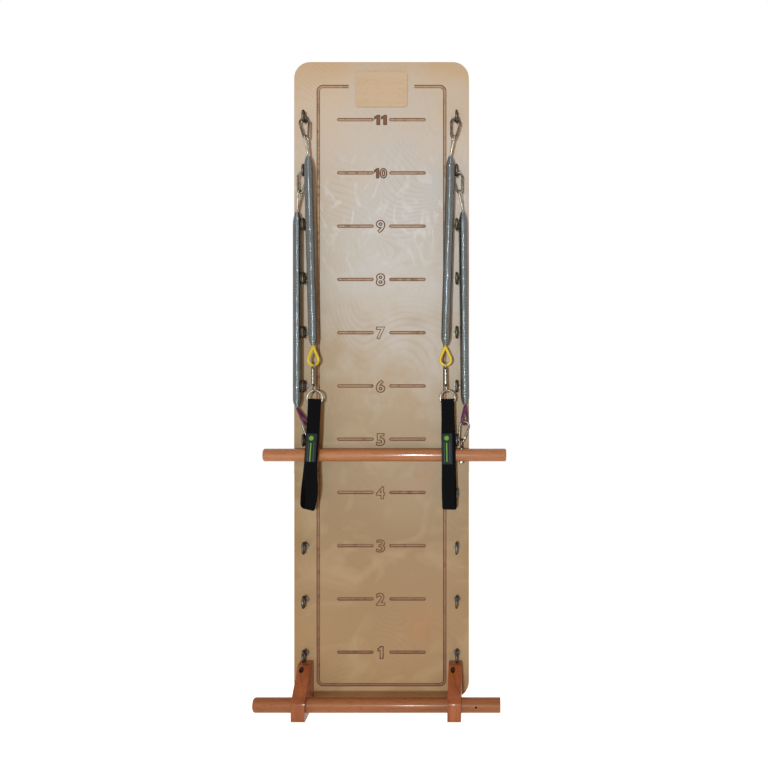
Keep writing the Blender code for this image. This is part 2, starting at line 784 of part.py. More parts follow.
def head_radius(cone):
    """The widest loop head that seats inside a cone of the spring, at its depth there."""
    ease = math.sin(LOOP_HEAD_DEPTH / cone * math.pi / 2)
    share = SPRING_NECK_SHARE + (1 - SPRING_NECK_SHARE) * ease
    bore = (SPRING_DIAMETER / 2 - SPRING_STRIP) * share
    return bore * math.cos(math.pi / SPRING_TURN_POINTS) - 2 * GAP


def report_turn_gap(coil, ring):
    """Measure, on the points of the band, the least gap from one turn to the next."""
    per_turn = SPRING_TURN_POINTS * ring
    least = SPRING_DIAMETER
    for index, vert in enumerate(coil.vertices):
        for other in coil.vertices[index + per_turn - ring:index + per_turn + 2 * ring]:
            least = min(least, (other.co - vert.co).length)
    print(f"spring: least gap between turns {least * 1000:.2f} mm")


def make_spring_end(name, world_frame, toward, sizes, turn, look, steps, carrier):
    """A loop at one end of a spring, on the pivot that carries it."""
    mesh = loop_mesh(world_frame, toward, sizes, turn, steps)
    loop = finished(name, mesh, look)
    hang(loop, carrier, carrier.matrix_world.inverted() @ world_frame)


TOP_LOOP = (TOP_LOOP_SPAN, TOP_LOOP_WIDTH, TOP_LOOP_WIRE, head_radius(SPRING_TOP_CONE))
LOWER_LOOP = (LOWER_LOOP_SPAN, LOWER_LOOP_WIDTH, LOWER_LOOP_WIRE,
              head_radius(SPRING_LOWER_CONE))
TOP_LINK = (HOOK_WIRE + TOP_LOOP_WIRE) / 2 + LINK_GAP
TOP_RUN = HOOK_SEAT + HOOK_SPAN - TOP_LINK + TOP_LOOP_SPAN
BAR_LINK = (BAR_EYE_WIRE + HOOK_WIRE) / 2 + LINK_GAP


def upside_down(matrix):
    """The same frame with its Z pointing the other way."""
    return matrix @ Matrix.Rotation(math.pi, 4, "X")


def make_handle_chain(word, side, shape):
    """Carabiner, spring, loops, bolt snap, D-ring and strap of one handle."""
    eye = Vector((side * EYE_SPACING / 2, EYE_Y, level_height(HANDLE_LEVEL)))
    neck = point_below(eye, TOP_RUN, shape["top_x"], HANDLE_SPRING_TOP_Y)
    hook_down = (neck - eye).normalized()
    hook_pivot = pivot(f"handle_{word}_swing", chain_frame(eye, hook_down))
    make_carabiner(f"handle_{word}_carabiner", hook_pivot, -HOOK_SEAT, side)

    whole = HANDLE_SPRING_LENGTH + 2 * LOOP_NECK
    foot = point_below(neck, whole, shape["foot_x"], HANDLE_SPRING_FOOT_Y)
    down = (foot - neck).normalized()
    link = eye + hook_down * (HOOK_SEAT + HOOK_SPAN)
    spring_pivot = pivot(f"handle_{word}_spring_swing", chain_frame(link, down))
    spring_top = chain_frame(neck + down * LOOP_NECK, down)
    make_spring_end(f"handle_{word}_top_loop", spring_top, -hook_down, TOP_LOOP,
                    shape["top_turn"], ZINC, 6, spring_pivot)
    coil = finished(f"handle_{word}_spring", spring_mesh(HANDLE_SPRING_LENGTH), SPRING_STEEL)
    hang(coil, spring_pivot, spring_pivot.matrix_world.inverted() @ spring_top)

    spring_end = chain_frame(foot - down * LOOP_NECK, down)
    pull_pivot = pivot(f"handle_{word}_stretch", spring_end)
    loop_to_ring = SNAP_LENGTH + LOWER_LOOP_SPAN - (LOWER_LOOP_WIRE + SNAP_WIRE) / 2 - LINK_GAP
    ring_y = strap_rest_y(shape["strap_turn"])
    ring = point_below(foot, loop_to_ring, shape["ring_x"], ring_y)
    pull_down = (ring - foot).normalized()
    make_spring_end(f"handle_{word}_yellow_loop", upside_down(spring_end), pull_down,
                    LOWER_LOOP, shape["low_turn"], YELLOW, 7, pull_pivot)
    snap_frame = chain_frame(ring, pull_down)
    make_snap(word, snap_frame, shape["low_turn"], shape["strap_turn"], pull_pivot)
    strap_down = Vector((-shape["strap_lean"], 0, -1))
    handle_pivot = pivot(f"handle_{word}_tilt", chain_frame(ring, strap_down))
    make_handle(word, handle_pivot, shape["strap_turn"])


def strap_rest_y(turn):
    """Where the D-ring hangs, so that the strap just rests on the roll-down bar."""
    back = abs(math.cos(turn)) * STRAP_DEPTH / 2 + abs(math.sin(turn)) * STRAP_WIDTH / 2
    return EYE_Y - ROLL_BAR_DIAMETER / 2 - GAP - back - D_SHIFT * math.sin(turn)


def snap_arm(seat, tip):
    """The hook's middle line: out of the barrel, down the back, under the ring to the tip."""
    bolt = SNAP_BOLT_OFFSET
    back = -SNAP_BARREL / 2 - SNAP_WIRE
    foot = SNAP_BARREL_BOTTOM
    line = [(bolt - SNAP_ROOT_INSET, foot + SNAP_ROOT_RISE),
            (bolt - SNAP_SHOULDER_INSET, foot + SNAP_SHOULDER_RISE),
            (back, SNAP_BACK_TOP), (back - SNAP_BACK_BULGE, SNAP_BACK_FOOT),
            (-SNAP_HEEL_OFFSET, seat + SNAP_HEEL_RISE), (SNAP_SEAT_SHIFT, seat),
            (bolt - SNAP_TOE_INSET, seat + SNAP_TOE_RISE), (bolt, tip)]
    return [(0.0, offset, height) for offset, height in line]


def make_snap(word, frame, loop_turn, strap_turn, carrier):
    """The bolt snap, with the D-ring's wire at its origin, and its sliding bolt."""
    wire = SNAP_WIRE / 2
    own_turn = SNAP_TURN + strap_turn
    seat = -(SNAP_WIRE + D_WIRE) / 2 - SNAP_LINK_GAP
    bolt = SNAP_BOLT_OFFSET
    tip = seat + SNAP_TIP_RISE
    eye_mid = (SNAP_EYE_OUTER - SNAP_WIRE) / 2
    eye_height = SNAP_LENGTH - eye_mid
    barrel_top = eye_height - eye_mid
    hook = wire_mesh(snap_arm(seat, tip), wire)
    at_bolt = Matrix.Translation((0, bolt, 0))
    radius = SNAP_BARREL / 2
    shoulder = barrel_top - SNAP_BARREL_CHAMFER
    barrel = turned_mesh([(0.0, barrel_top), (radius * SNAP_CROWN_SHARE, barrel_top),
                          (radius, shoulder), (radius, SNAP_BARREL_BOTTOM),
                          (0.0, SNAP_BARREL_BOTTOM)], 8, at_bolt)
    ledge = disc(radius * SNAP_COLLAR_SHARE, barrel_top + wire, barrel_top - SNAP_COLLAR_SINK)
    collar = turned_mesh(ledge, 8, Matrix.Translation((0, bolt / 2, 0)))
    eye = ring_mesh(SNAP_EYE_OUTER, SNAP_WIRE, 8)
    eye.transform(Matrix.Translation((0, 0, eye_height))
                  @ Matrix.Rotation(loop_turn - own_turn, 4, "Z"))
    bore_top = barrel_top - SNAP_BORE_CAP
    bore_radius = SNAP_BOLT / 2 + GAP
    bore = turned_mesh(disc(bore_radius, bore_top, tip + SNAP_TIP_CLEARANCE), 8, at_bolt)
    knob = SNAP_KNOB_HEIGHT
    stem = SNAP_BOLT / 2 * SNAP_STEM_SHARE
    slot_low = knob - stem - GAP
    slot_high = knob + stem + SNAP_TRAVEL + GAP
    slot_width = 2 * (stem + GAP)
    slot_middle = (bolt + SNAP_SLOT_REACH / 2, (slot_high + slot_low) / 2)
    slot = plate_mesh([rectangle(SNAP_SLOT_REACH, slot_high - slot_low, slot_middle)],
                      slot_width, FACE_SIDE)
    body = finished(f"handle_{word}_snap_body", joined([hook, barrel, collar, eye], [bore, slot]),
                    ZINC)
    world = frame @ Matrix.Rotation(own_turn, 4, "Z")
    hang(body, carrier, carrier.matrix_world.inverted() @ world)
    make_snap_bolt(word, world, tip, bore_top)


def make_snap_bolt(word, world, tip, bore_top):
    """The snap's sliding bolt with its thumb knob, on the slide's own pivot."""
    low = tip + 3 * GAP
    high = bore_top - SNAP_TRAVEL - GAP
    radius = SNAP_BOLT / 2
    rod = turned_mesh(disc(radius, high, low), 8)
    out = SNAP_BARREL / 2 + SNAP_KNOB / 2 + GAP
    stem = radius * SNAP_STEM_SHARE
    pin = wire_mesh([(0, 0, SNAP_KNOB_HEIGHT), (0, out, SNAP_KNOB_HEIGHT)], stem)
    ball = SNAP_KNOB / 2
    slant = ball * SNAP_KNOB_SHARE
    button = turned_mesh([(0.0, ball), (slant, slant), (ball, 0.0), (slant, -slant),
                          (0.0, -ball)], 8)
    button.transform(Matrix.Translation((0, out, SNAP_KNOB_HEIGHT)))
    slide = pivot(f"handle_{word}_snap_slide", world @ Matrix.Translation((0, SNAP_BOLT_OFFSET, 0)))
    bolt = finished(f"handle_{word}_snap_trigger", joined([rod, pin, button]), ZINC)
    hang(bolt, slide)


def make_handle(word, carrier, turn):
    """The D-ring with its top wire on the pivot, and the webbing strap round its bar."""
    radius = (D_WIDTH - D_WIRE) / 2
    lift = radius - math.sqrt(radius ** 2 - D_SHIFT ** 2)
    turned = Matrix.Rotation(turn, 4, "Z") @ Matrix.Translation((D_SHIFT, 0, lift))
    corner = D_CORNER_RADIUS
    line = arc((0, -radius), radius, 0, 180, 7)
    line += arc((corner - radius, corner - D_DROP), corner, 180, 270, 2)
    line += arc((radius - corner, corner - D_DROP), corner, 270, 360, 2)
    curve = wire_curve("d_ring", [(x, 0.0, z) for x, z in line], D_WIRE / 2, True)
    ring = add_object(f"handle_{word}_d_ring", curve, ZINC, PARTS)
    hang(ring, carrier, turned)
    strap = add_object(f"handle_{word}_strap", strap_curve(), WEBBING, PARTS)
    hang(strap, carrier, turned @ FACE_SIDE)


def strap_curve():
    """The strap seen from its side: sewn together below the D-ring, then an open loop."""
    hole = D_WIRE / 2 + STRAP_PIN_GAP
    wrap = hole + STRAP_PLY
    top = -D_DROP
    end = top + wrap - STRAP_LENGTH
    deep = STRAP_DEPTH / 2
    flat = STRAP_PLY
    sewn = top - STRAP_STITCHED
    open_from = sewn - STRAP_FLARE

    def side_line(inset, first):
        """The back edge from the sewn part down to the bend, and the bend's half."""
        steps = 4
        line = []
        for n in range(first, steps + 1):
            ease = (1 - math.cos(math.pi * n / steps)) / 2
            depth = flat + (deep - flat) * ease
            line.append((depth - inset, sewn + (open_from - sewn) * n / steps))
        bend = deep - inset
        return line + arc((0, end + deep), bend, 0, -90, 4)

    back = [(wrap * math.cos(a), top + wrap * math.sin(a))
            for a in (math.radians(90 - 30 * n) for n in range(4))]
    outer = back + [(flat, top - wrap)] + side_line(0.0, 0)
    outline = outer + [(-x, z) for x, z in reversed(outer[1:-1])]
    inner = [(0.0, sewn - STRAP_FLARE * STRAP_FORK_SHARE)] + side_line(STRAP_PLY, 2)
    opening = inner + [(-x, z) for x, z in reversed(inner[1:-1])]
    bar_hole = arc((0, top), hole, 0, 360, 8)[:-1]
    return flat_curve("strap", [outline, opening, bar_hole], STRAP_WIDTH)


def make_bar_chain(word, side, shape, bar_eye):
    """Two carabiners, the spring and its loops on one side of the roll-down bar."""
    eye = Vector((side * EYE_SPACING / 2, EYE_Y, level_height(BAR_LEVEL)))
    neck = point_below(eye, TOP_RUN, shape["top_x"], EYE_Y)
    hook_down = (neck - eye).normalized()
    swing = pivot(f"bar_{word}_swing", chain_frame(eye, hook_down))
    make_carabiner(f"bar_{word}_carabiner", swing, -HOOK_SEAT, side)

    low_link = (LOWER_LOOP_WIRE + HOOK_WIRE) / 2 + LINK_GAP
    bar_hook = HOOK_SPAN - low_link - BAR_LINK
    rise = math.sqrt(bar_hook ** 2 - (bar_eye.x - shape["link_x"]) ** 2)
    link = Vector((shape["link_x"], EYE_Y, bar_eye.z + rise))
    drop = math.sqrt(LOWER_LOOP_SPAN ** 2 - (shape["foot_x"] - link.x) ** 2)
    foot = Vector((shape["foot_x"], EYE_Y, link.z + drop))
    down = (foot - neck).normalized()
    spring_top = chain_frame(neck + down * LOOP_NECK, down)
    make_spring_end(f"bar_{word}_top_loop", spring_top, -hook_down, TOP_LOOP,
                    shape["top_turn"], ZINC, 6, swing)
    length = (foot - neck).length - 2 * LOOP_NECK
    coil = finished(f"bar_{word}_spring", spring_mesh(length), SPRING_STEEL)
    hang(coil, swing, swing.matrix_world.inverted() @ spring_top)

    spring_end = chain_frame(foot - down * LOOP_NECK, down)
    stretch = pivot(f"bar_{word}_stretch", spring_end)
    make_spring_end(f"bar_{word}_purple_loop", upside_down(spring_end), link - foot, LOWER_LOOP,
                    shape["low_turn"], PURPLE, 7, stretch)
    last = (bar_eye - link).normalized()
    hook_top = chain_frame(link - last * low_link, last)
    make_carabiner(f"bar_{word}_lower_carabiner", pivot_at(stretch, hook_top), 0.0, 1)


def pivot_at(carrier, matrix):
    """An empty at a fixed place on another pivot."""
    empty = pivot(f"{carrier.name}_hook_seat", matrix)
    bpy.context.view_layer.update()
    empty.parent = carrier
    empty.matrix_basis = carrier.matrix_world.inverted() @ matrix
    bpy.context.view_layer.update()
    return empty


def bar_eye_mesh(x):
    """One eye bolt of the roll-down bar, with its washer above and its nut below."""
    radius = ROLL_BAR_DIAMETER / 2
    mid = (BAR_EYE_OUTER - BAR_EYE_WIRE) / 2
    height = bar_eye_height()
    ring = ring_mesh(BAR_EYE_OUTER, BAR_EYE_WIRE, 8)
    ring.transform(Matrix.Translation((x, 0, height)))
    place = Matrix.Translation((x, 0, 0))
    low = -radius - BAR_NUT_THICKNESS
    shank = turned_mesh(disc(BAR_EYE_SHANK / 2, height - mid, low - BAR_EYE_SHANK_END), 6, place)
    face = disc(BAR_WASHER_DIAMETER / 2, radius + WASHER_THICKNESS, radius - BAR_WASHER_SINK)
    washer = turned_mesh(face, 8, place)
    nut = turned_mesh(disc(BAR_NUT_ACROSS_CORNERS / 2, BAR_NUT_SINK - radius, low), 6, place)
    return [ring, shank, washer, nut]


def bar_eye_height():
    """From the bar's middle up to the middle of its eyes."""
    radius = ROLL_BAR_DIAMETER / 2
    return radius + GAP + WASHER_THICKNESS + BAR_EYE_OUTER / 2 - BAR_EYE_SINK


def make_roll_bar():
    """The roll-down bar with its two eye bolts, hung on the left lower carabiner."""
    height = level_height(REST_LEVEL) - ROLL_BAR_DROP
    mid = (BAR_EYE_OUTER - BAR_EYE_WIRE) / 2
    eye_top = height + bar_eye_height() + mid
    link_z = eye_top - BAR_LINK
    left_x = ROLL_BAR_SHIFT + ROLL_BAR_EYE_SHIFT - ROLL_BAR_EYE_SPACING / 2
    right_x = left_x + ROLL_BAR_EYE_SPACING
    meshes = [round_bar(ROLL_BAR_DIAMETER, ROLL_BAR_LENGTH, 14, ROLL_BAR_END_ROUND,
                        ROLL_BAR_END_ROUND)]
    for x in (left_x, right_x):
        meshes += bar_eye_mesh(x - ROLL_BAR_SHIFT)
    tilt = pivot("roll_down_bar_tilt", Matrix.Translation((left_x, EYE_Y, link_z)))
    bar = finished("roll_down_bar", joined(meshes), BEECH)
    hang(bar, tilt, Matrix.Translation((ROLL_BAR_SHIFT - left_x, 0, height - link_z)))
    return [Vector((x, EYE_Y, eye_top)) for x in (left_x, right_x)]


def main():
    """Build every piece of the board."""
    make_board()
    make_name_plate()
    make_eye_bolts()
    make_foot_bar()
    make_blocks()
    for side, word in ((-1, "left"), (1, "right")):
        make_handle_chain(word, side, HANDLE_CHAINS[word])
    left_eye, right_eye = make_roll_bar()
    make_bar_chain("left", -1, BAR_CHAINS["left"], left_eye)
    make_bar_chain("right", 1, BAR_CHAINS["right"], right_eye)


main()
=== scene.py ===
# %% [markdown]
# # A pilates spring board, dressed for a studio picture
#
# A plywood panel hangs on a wall. It carries eye bolts in eleven levels, two springs with hand
# straps, two springs with a wooden roll-down bar, and a fixed foot bar near its lower end.
# The imported model is loaded first and stays as it is: it gives every body, joint and size.
# Each piece below is then made finer, in the same place, and rides on the body it belongs to; the
# springs are put in place and ride on no body.

# %% Load the imported model
import math

import bmesh
import bpy
from mathutils import Matrix, Vector


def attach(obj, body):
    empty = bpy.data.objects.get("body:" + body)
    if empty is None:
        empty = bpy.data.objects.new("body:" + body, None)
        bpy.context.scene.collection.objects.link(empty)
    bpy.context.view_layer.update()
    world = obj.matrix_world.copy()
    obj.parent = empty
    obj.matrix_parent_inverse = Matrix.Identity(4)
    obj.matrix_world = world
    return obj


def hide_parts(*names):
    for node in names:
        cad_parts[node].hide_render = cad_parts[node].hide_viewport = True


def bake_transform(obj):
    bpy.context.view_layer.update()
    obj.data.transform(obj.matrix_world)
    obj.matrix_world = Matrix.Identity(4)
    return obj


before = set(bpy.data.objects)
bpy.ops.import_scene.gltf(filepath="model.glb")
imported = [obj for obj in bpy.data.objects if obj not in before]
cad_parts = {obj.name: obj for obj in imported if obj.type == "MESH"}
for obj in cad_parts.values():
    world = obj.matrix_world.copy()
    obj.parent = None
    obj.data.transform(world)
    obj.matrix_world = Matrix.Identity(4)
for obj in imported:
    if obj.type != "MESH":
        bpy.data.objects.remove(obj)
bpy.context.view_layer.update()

# %% [markdown]
# ## The camera
#
# The photograph looks straight at the wall from a point in front of the right edge of the
# board, so the picture was cropped off centre. A camera can be turned toward the middle, but
# then the board's sides would converge. A shifted lens keeps them upright, as the picture does.

# %% Set up the camera
PICTURE = 768
BOARD = (0.500, 1.820, 0.030)
BOARD_FRONT = -BOARD[2]
CAMERA_DISTANCE = 2.780
PIXEL_ON_BOARD = 0.002862
FACING_PIXEL = (482, 366)
FACING_POINT = (0.2876, 0.040)

lens = bpy.data.cameras.new("camera")
lens.sensor_width = 36
lens.lens = lens.sensor_width * CAMERA_DISTANCE / (PIXEL_ON_BOARD * PICTURE)
lens.shift_x = 0.5 - FACING_PIXEL[0] / PICTURE
lens.shift_y = FACING_PIXEL[1] / PICTURE - 0.5
camera = bpy.data.objects.new("camera", lens)
camera.location = (FACING_POINT[0], BOARD_FRONT - CAMERA_DISTANCE, FACING_POINT[1])
camera.rotation_euler = (math.radians(90), 0, 0)
bpy.context.scene.collection.objects.link(camera)
bpy.context.scene.camera = camera
bpy.context.scene.view_settings.view_transform = "Standard"
print(f"lens {lens.lens:.1f} mm, shift {lens.shift_x:.3f} {lens.shift_y:.3f}")

# %% [markdown]
# ## Nodes in short lines
#
# Every finish below is a small tree of shader nodes, and so are the floor and the world. Nodes
# could be added one property at a time, but that hides what a tree does. These helpers add a
# node, set its options and link its inputs in one line, so that a finish reads like a recipe.


# %% Helpers for node trees
def lay(tree, kind, inputs=None, **options):
    """Add a node, set its options, and give its inputs a value or a link."""
    step = tree.nodes.new(kind)
    for name, value in options.items():
        setattr(step, name, value)
    for key, value in (inputs or {}).items():
        if isinstance(value, bpy.types.NodeSocket):
            tree.links.new(value, step.inputs[key])
        else:
            step.inputs[key].default_value = value
    return step


def maths(tree, operation, *values):
    """The result of one sum on sockets or numbers."""
    return lay(tree, "ShaderNodeMath", dict(enumerate(values)), operation=operation).outputs[0]


def times(tree, first, second):
    """Two sockets or numbers multiplied."""
    return maths(tree, "MULTIPLY", first, second)


def plus(tree, first, second):
    """Two sockets or numbers added."""
    return maths(tree, "ADD", first, second)


def tone(red, green, blue):
    """A colour as a screen shows it, turned into the linear values that a shader takes."""
    return (*[((c / 255 + 0.055) / 1.055) ** 2.4 for c in (red, green, blue)], 1.0)


def mixed(tree, factor, first, second):
    """Two colours mixed by a factor."""
    step = lay(tree, "ShaderNodeMix", {0: factor, 6: first, 7: second}, data_type="RGBA")
    return step.outputs[2]


def stepped(tree, factor, stops):
    """A colour ramp: (place, colour) stops along a factor."""
    step = lay(tree, "ShaderNodeValToRGB", {0: factor})
    marks = step.color_ramp.elements
    while len(marks) < len(stops):
        marks.new(0.5)
    for mark, (place, colour) in zip(marks, stops):
        mark.position = place
        mark.color = colour
    return step.outputs[0]


def ranged(tree, value, low, high, to_low=0.0, to_high=1.0):
    """A value carried from one range to another and held at its ends."""
    inputs = {"Value": value, "From Min": low, "From Max": high, "To Min": to_low,
              "To Max": to_high}
    return lay(tree, "ShaderNodeMapRange", inputs, clamp=True).outputs[0]


def axes(tree, source="Object"):
    """X, Y and Z of a place on the piece, or along and across on its own map."""
    coords = tree.nodes.new("ShaderNodeTexCoord")
    return lay(tree, "ShaderNodeSeparateXYZ", {0: coords.outputs[source]}).outputs


def pattern_space(tree, scale, move=(0, 0, 0)):
    """Coordinates on the piece, stretched so that a pattern has its real size."""
    coords = tree.nodes.new("ShaderNodeTexCoord")
    inputs = {"Vector": coords.outputs["Object"], "Scale": scale, "Location": move}
    return lay(tree, "ShaderNodeMapping", inputs).outputs[0]


def noise(tree, scale, detail=3.0, roughness=0.5, distortion=0.0, move=(0, 0, 0)):
    """Smooth noise, with a scale for each axis in cells a metre."""
    inputs = {"Vector": pattern_space(tree, scale, move), "Scale": 1.0, "Detail": detail,
              "Roughness": roughness, "Distortion": distortion}
    return lay(tree, "ShaderNodeTexNoise", inputs).outputs["Fac"]


def start_finish(name, **sockets):
    """A new material with its shader; sockets are set by name, with _ for a space."""
    look = bpy.data.materials.new(name)
    look.use_nodes = True
    shader = look.node_tree.nodes["Principled BSDF"]
    for key, value in sockets.items():
        shader.inputs[key.replace("_", " ")].default_value = value
    return look, look.node_tree, shader


def relief(tree, shader, height, depth):
    """Bump from a height between 0 and 1, at a real depth in metres."""
    step = lay(tree, "ShaderNodeBump", {"Height": height, "Distance": depth, "Strength": 1.0})
    tree.links.new(step.outputs[0], shader.inputs["Normal"])


# %% [markdown]
# ## Light, floor and background
#
# The springs throw narrow warm shadows to their right, while the bars hide most of their own. So
# the light comes from close beside the camera: one small, slightly cool box light, well behind
# the camera and a little to its left. A long dim tube below the camera draws the line of light
# along both bars. An even warm world fills the rest, which colours the shadows, and a colour
# looks about as it is written.
#
# The white behind the object is what the camera sees of the world. The floor lies below the
# board, as under a wall-mounted unit. It is white too, fully so further off, and keeps the
# object's shadow near it.

# %% Light the studio
FLOOR_HEIGHT = -1.25
FLOOR_NEAR, FLOOR_FAR, FLOOR_RADIUS = 1.30, 1.9, 9.0
KEY_PLACE = Vector((-0.09, -6.0, 0.08))
KEY_SIZE = (0.28, 0.30)
KEY_WATTS = 268
KEY_TINT = (0.69, 0.855, 1.0)
TUBE_PLACE = Vector((0.0, -2.90, -0.62))
TUBE_SIZE = (4.5, 0.03)
TUBE_WATTS = 4
TUBE_TINT = (1.0, 1.0, 1.0)
FILL = 0.42
FILL_TINT = (1.0, 0.60, 0.26, 1.0)


def hang_lamp(name, place, size, watts, tint):
    """A rectangular lamp that faces the middle of the board."""
    light = bpy.data.lights.new(name, "AREA")
    light.energy = watts
    light.color = tint
    light.shape = "RECTANGLE"
    light.size, light.size_y = size
    lamp = bpy.data.objects.new(name, light)
    lamp.location = place
    lamp.rotation_euler = place.to_track_quat("Z", "Y").to_euler()
    bpy.context.scene.collection.objects.link(lamp)


hang_lamp("key_lamp", KEY_PLACE, KEY_SIZE, KEY_WATTS, KEY_TINT)
hang_lamp("tube_lamp", TUBE_PLACE, TUBE_SIZE, TUBE_WATTS, TUBE_TINT)


def seen_rays(tree):
    """1 for what the camera sees, straight or in a reflection or through glass."""
    rays = tree.nodes.new("ShaderNodeLightPath").outputs
    seen = maths(tree, "MAXIMUM", rays["Is Camera Ray"], rays["Is Glossy Ray"])
    return maths(tree, "MAXIMUM", seen, rays["Is Transmission Ray"])


world = bpy.data.worlds.new("studio")
world.use_nodes = True
bpy.context.scene.world = world
sky = world.node_tree
fill = lay(sky, "ShaderNodeBackground", {"Color": FILL_TINT, "Strength": FILL})
white = lay(sky, "ShaderNodeBackground", {"Color": (1, 1, 1, 1), "Strength": 1.0})
both = lay(sky, "ShaderNodeMixShader",
           {0: seen_rays(sky), 1: fill.outputs[0], 2: white.outputs[0]})
sky.links.new(both.outputs[0], sky.nodes["World Output"].inputs["Surface"])

floor_look, tree, shader = start_finish("white_floor", Roughness=0.7)
shader.inputs["Base Color"].default_value = (0.80, 0.80, 0.80, 1)
shader.inputs["Emission Color"].default_value = (1, 1, 1, 1)
place = tree.nodes.new("ShaderNodeTexCoord").outputs["Object"]
away = lay(tree, "ShaderNodeVectorMath", {0: place}, operation="LENGTH").outputs["Value"]
glow = ranged(tree, away, FLOOR_NEAR, FLOOR_FAR, 0.80, 1.0)
tree.links.new(times(tree, seen_rays(tree), glow), shader.inputs["Emission Strength"])
work = bmesh.new()
bmesh.ops.create_circle(work, cap_ends=True, radius=FLOOR_RADIUS, segments=64,
                        matrix=Matrix.Translation((0, 0, FLOOR_HEIGHT)))
floor_mesh = bpy.data.meshes.new("floor")
work.to_mesh(floor_mesh)
work.free()
floor_mesh.materials.append(floor_look)
floor = bpy.data.objects.new("floor", floor_mesh)
bpy.context.scene.collection.objects.link(floor)
print("key lamp at", [round(v, 2) for v in KEY_PLACE], "floor at", FLOOR_HEIGHT)

# %% [markdown]
# ## Birch plywood
#
# The panel's face is one sheet of rotary-cut birch. Such a cut runs along the growth rings, so
# they show as wide ovals and swirls, like the height lines of a map, and that is how they are
# made: a smooth hilly noise on a slope, cut into even steps by a sine. Above the middle the wood
# is pale and has whitish curls, and it deepens to gold toward its foot; this fall from top to
# foot is partly the wood's own tone and partly painted light, as if the face were lit from
# above. Each of these is a small function that takes the colour so far and hands it on. The
# edges show the layers of the plywood, so they get a finish of their own.


# %% Pores and soft spots
def add_pores(tree, shader, along, depth=0.00004):
    """Short fine pores that run with the grain; returns them for the colour as well."""
    across = 1400
    scale = [across, across, across]
    scale["xyz".index(along)] = 45
    pores = noise(tree, scale, 2.0)
    relief(tree, shader, pores, depth)
    return ranged(tree, pores, 0.35, 0.60)


def spot(tree, centre, reach, wobble=0.0):
    """A soft spot on the face: 1 at its centre and 0 at its rim."""
    inverse = (1 / reach[0], 0, 1 / reach[1])
    move = (-centre[0] / reach[0], 0, -centre[1] / reach[1])
    off = lay(tree, "ShaderNodeVectorMath", {0: pattern_space(tree, inverse, move=move)},
              operation="LENGTH").outputs["Value"]
    if wobble:
        uneven = noise(tree, (9, 9, 9), 3.0, 0.6, move=(4, 0, 2))
        off = plus(tree, off, ranged(tree, uneven, 0.3, 0.7, -wobble, wobble))
    return ranged(tree, off, 1.0, 0.0)


# %% Birch face
RINGS_PER_METRE = 38


def height_tones(tree, height):
    """Gold at the foot, tan at the middle, pale above and paler in one wide patch: partly the wood's
    tone, partly painted light from above.
    """
    drift = noise(tree, (2.2, 1.0, 1.4), 2.0, move=(3, 0, 1))
    place = plus(tree, height, ranged(tree, drift, 0.2, 0.8, -0.16, 0.16))
    # Painted light: the ramp runs darker toward the foot, partly the wood's tone and partly shade as
    # if lit from above.
    base = stepped(tree, ranged(tree, place, -0.91, 0.91),
                   [(0.0, tone(166, 129, 86)), (0.12, tone(156, 122, 80)),
                    (0.30, tone(144, 114, 70)), (0.46, tone(157, 129, 88)),
                    (0.62, tone(177, 156, 127)), (0.90, tone(201, 179, 154)),
                    (1.0, tone(194, 164, 126))])
    # The wide pale patch above the middle is partly painted light.
    pale_patch = spot(tree, (0.05, 0.47), (0.34, 0.56), 0.22)
    return mixed(tree, times(tree, pale_patch, 1.10), base, tone(188, 181, 172))


def growth_rings(tree, where):
    """Lines of equal height on hills that also rise up and across the board."""
    hills = noise(tree, (2.6, 1.0, 2.6), 1.0, 0.4, 0.5, move=(0.35, 0, 0.6))
    slope = plus(tree, times(tree, where["Z"], 0.95), times(tree, where["X"], 0.65))
    mound = times(tree, spot(tree, (-0.005, -0.075), (0.19, 0.12), 0.2), 0.16)
    hills = plus(tree, plus(tree, hills, slope), mound)
    rings = maths(tree, "SINE", times(tree, hills, math.tau * RINGS_PER_METRE))
    fade = ranged(tree, noise(tree, (7, 1, 5), 2.0, move=(5, 0, 3)), 0.42, 0.66)
    strength = ranged(tree, where["Z"], -0.30, 0.50, 0.22, 0.12)
    return times(tree, times(tree, ranged(tree, rings, 0.1, 1.0), fade), strength)


def add_pale_figure(tree, base, height):
    """Clear patches low on the board, whitish curls above its middle."""
    clear = noise(tree, (6, 1, 8), 2.0, 0.5, 1.5, move=(2, 0, 7))
    clear = times(tree, ranged(tree, clear, 0.48, 0.68), ranged(tree, height, 0.10, -0.20))
    base = mixed(tree, times(tree, clear, 0.30), base, tone(190, 160, 118))
    curls = noise(tree, (13, 6, 8), 3.0, 0.5, 3.2, move=(1, 0, 5))
    band = times(tree, ranged(tree, height, 0.22, 0.44), ranged(tree, height, 0.70, 0.52))
    pale = times(tree, ranged(tree, curls, 0.52, 0.66), band)
    return mixed(tree, times(tree, pale, 0.45), base, tone(212, 207, 198))


def add_stains(tree, base):
    """Two greyish stains and two warm patches."""
    grey = maths(tree, "MAXIMUM", spot(tree, (0.100, -0.272), (0.020, 0.016), 0.3),
                 times(tree, spot(tree, (0.096, 0.172), (0.055, 0.026), 0.4), 0.6))
    base = mixed(tree, times(tree, grey, 0.55), base, tone(128, 100, 76))
    warm = maths(tree, "MAXIMUM", spot(tree, (0.112, -0.700), (0.06, 0.08), 0.3),
                 spot(tree, (0.128, -0.270), (0.06, 0.05), 0.3))
    return mixed(tree, times(tree, warm, 0.60), base, tone(166, 116, 72))


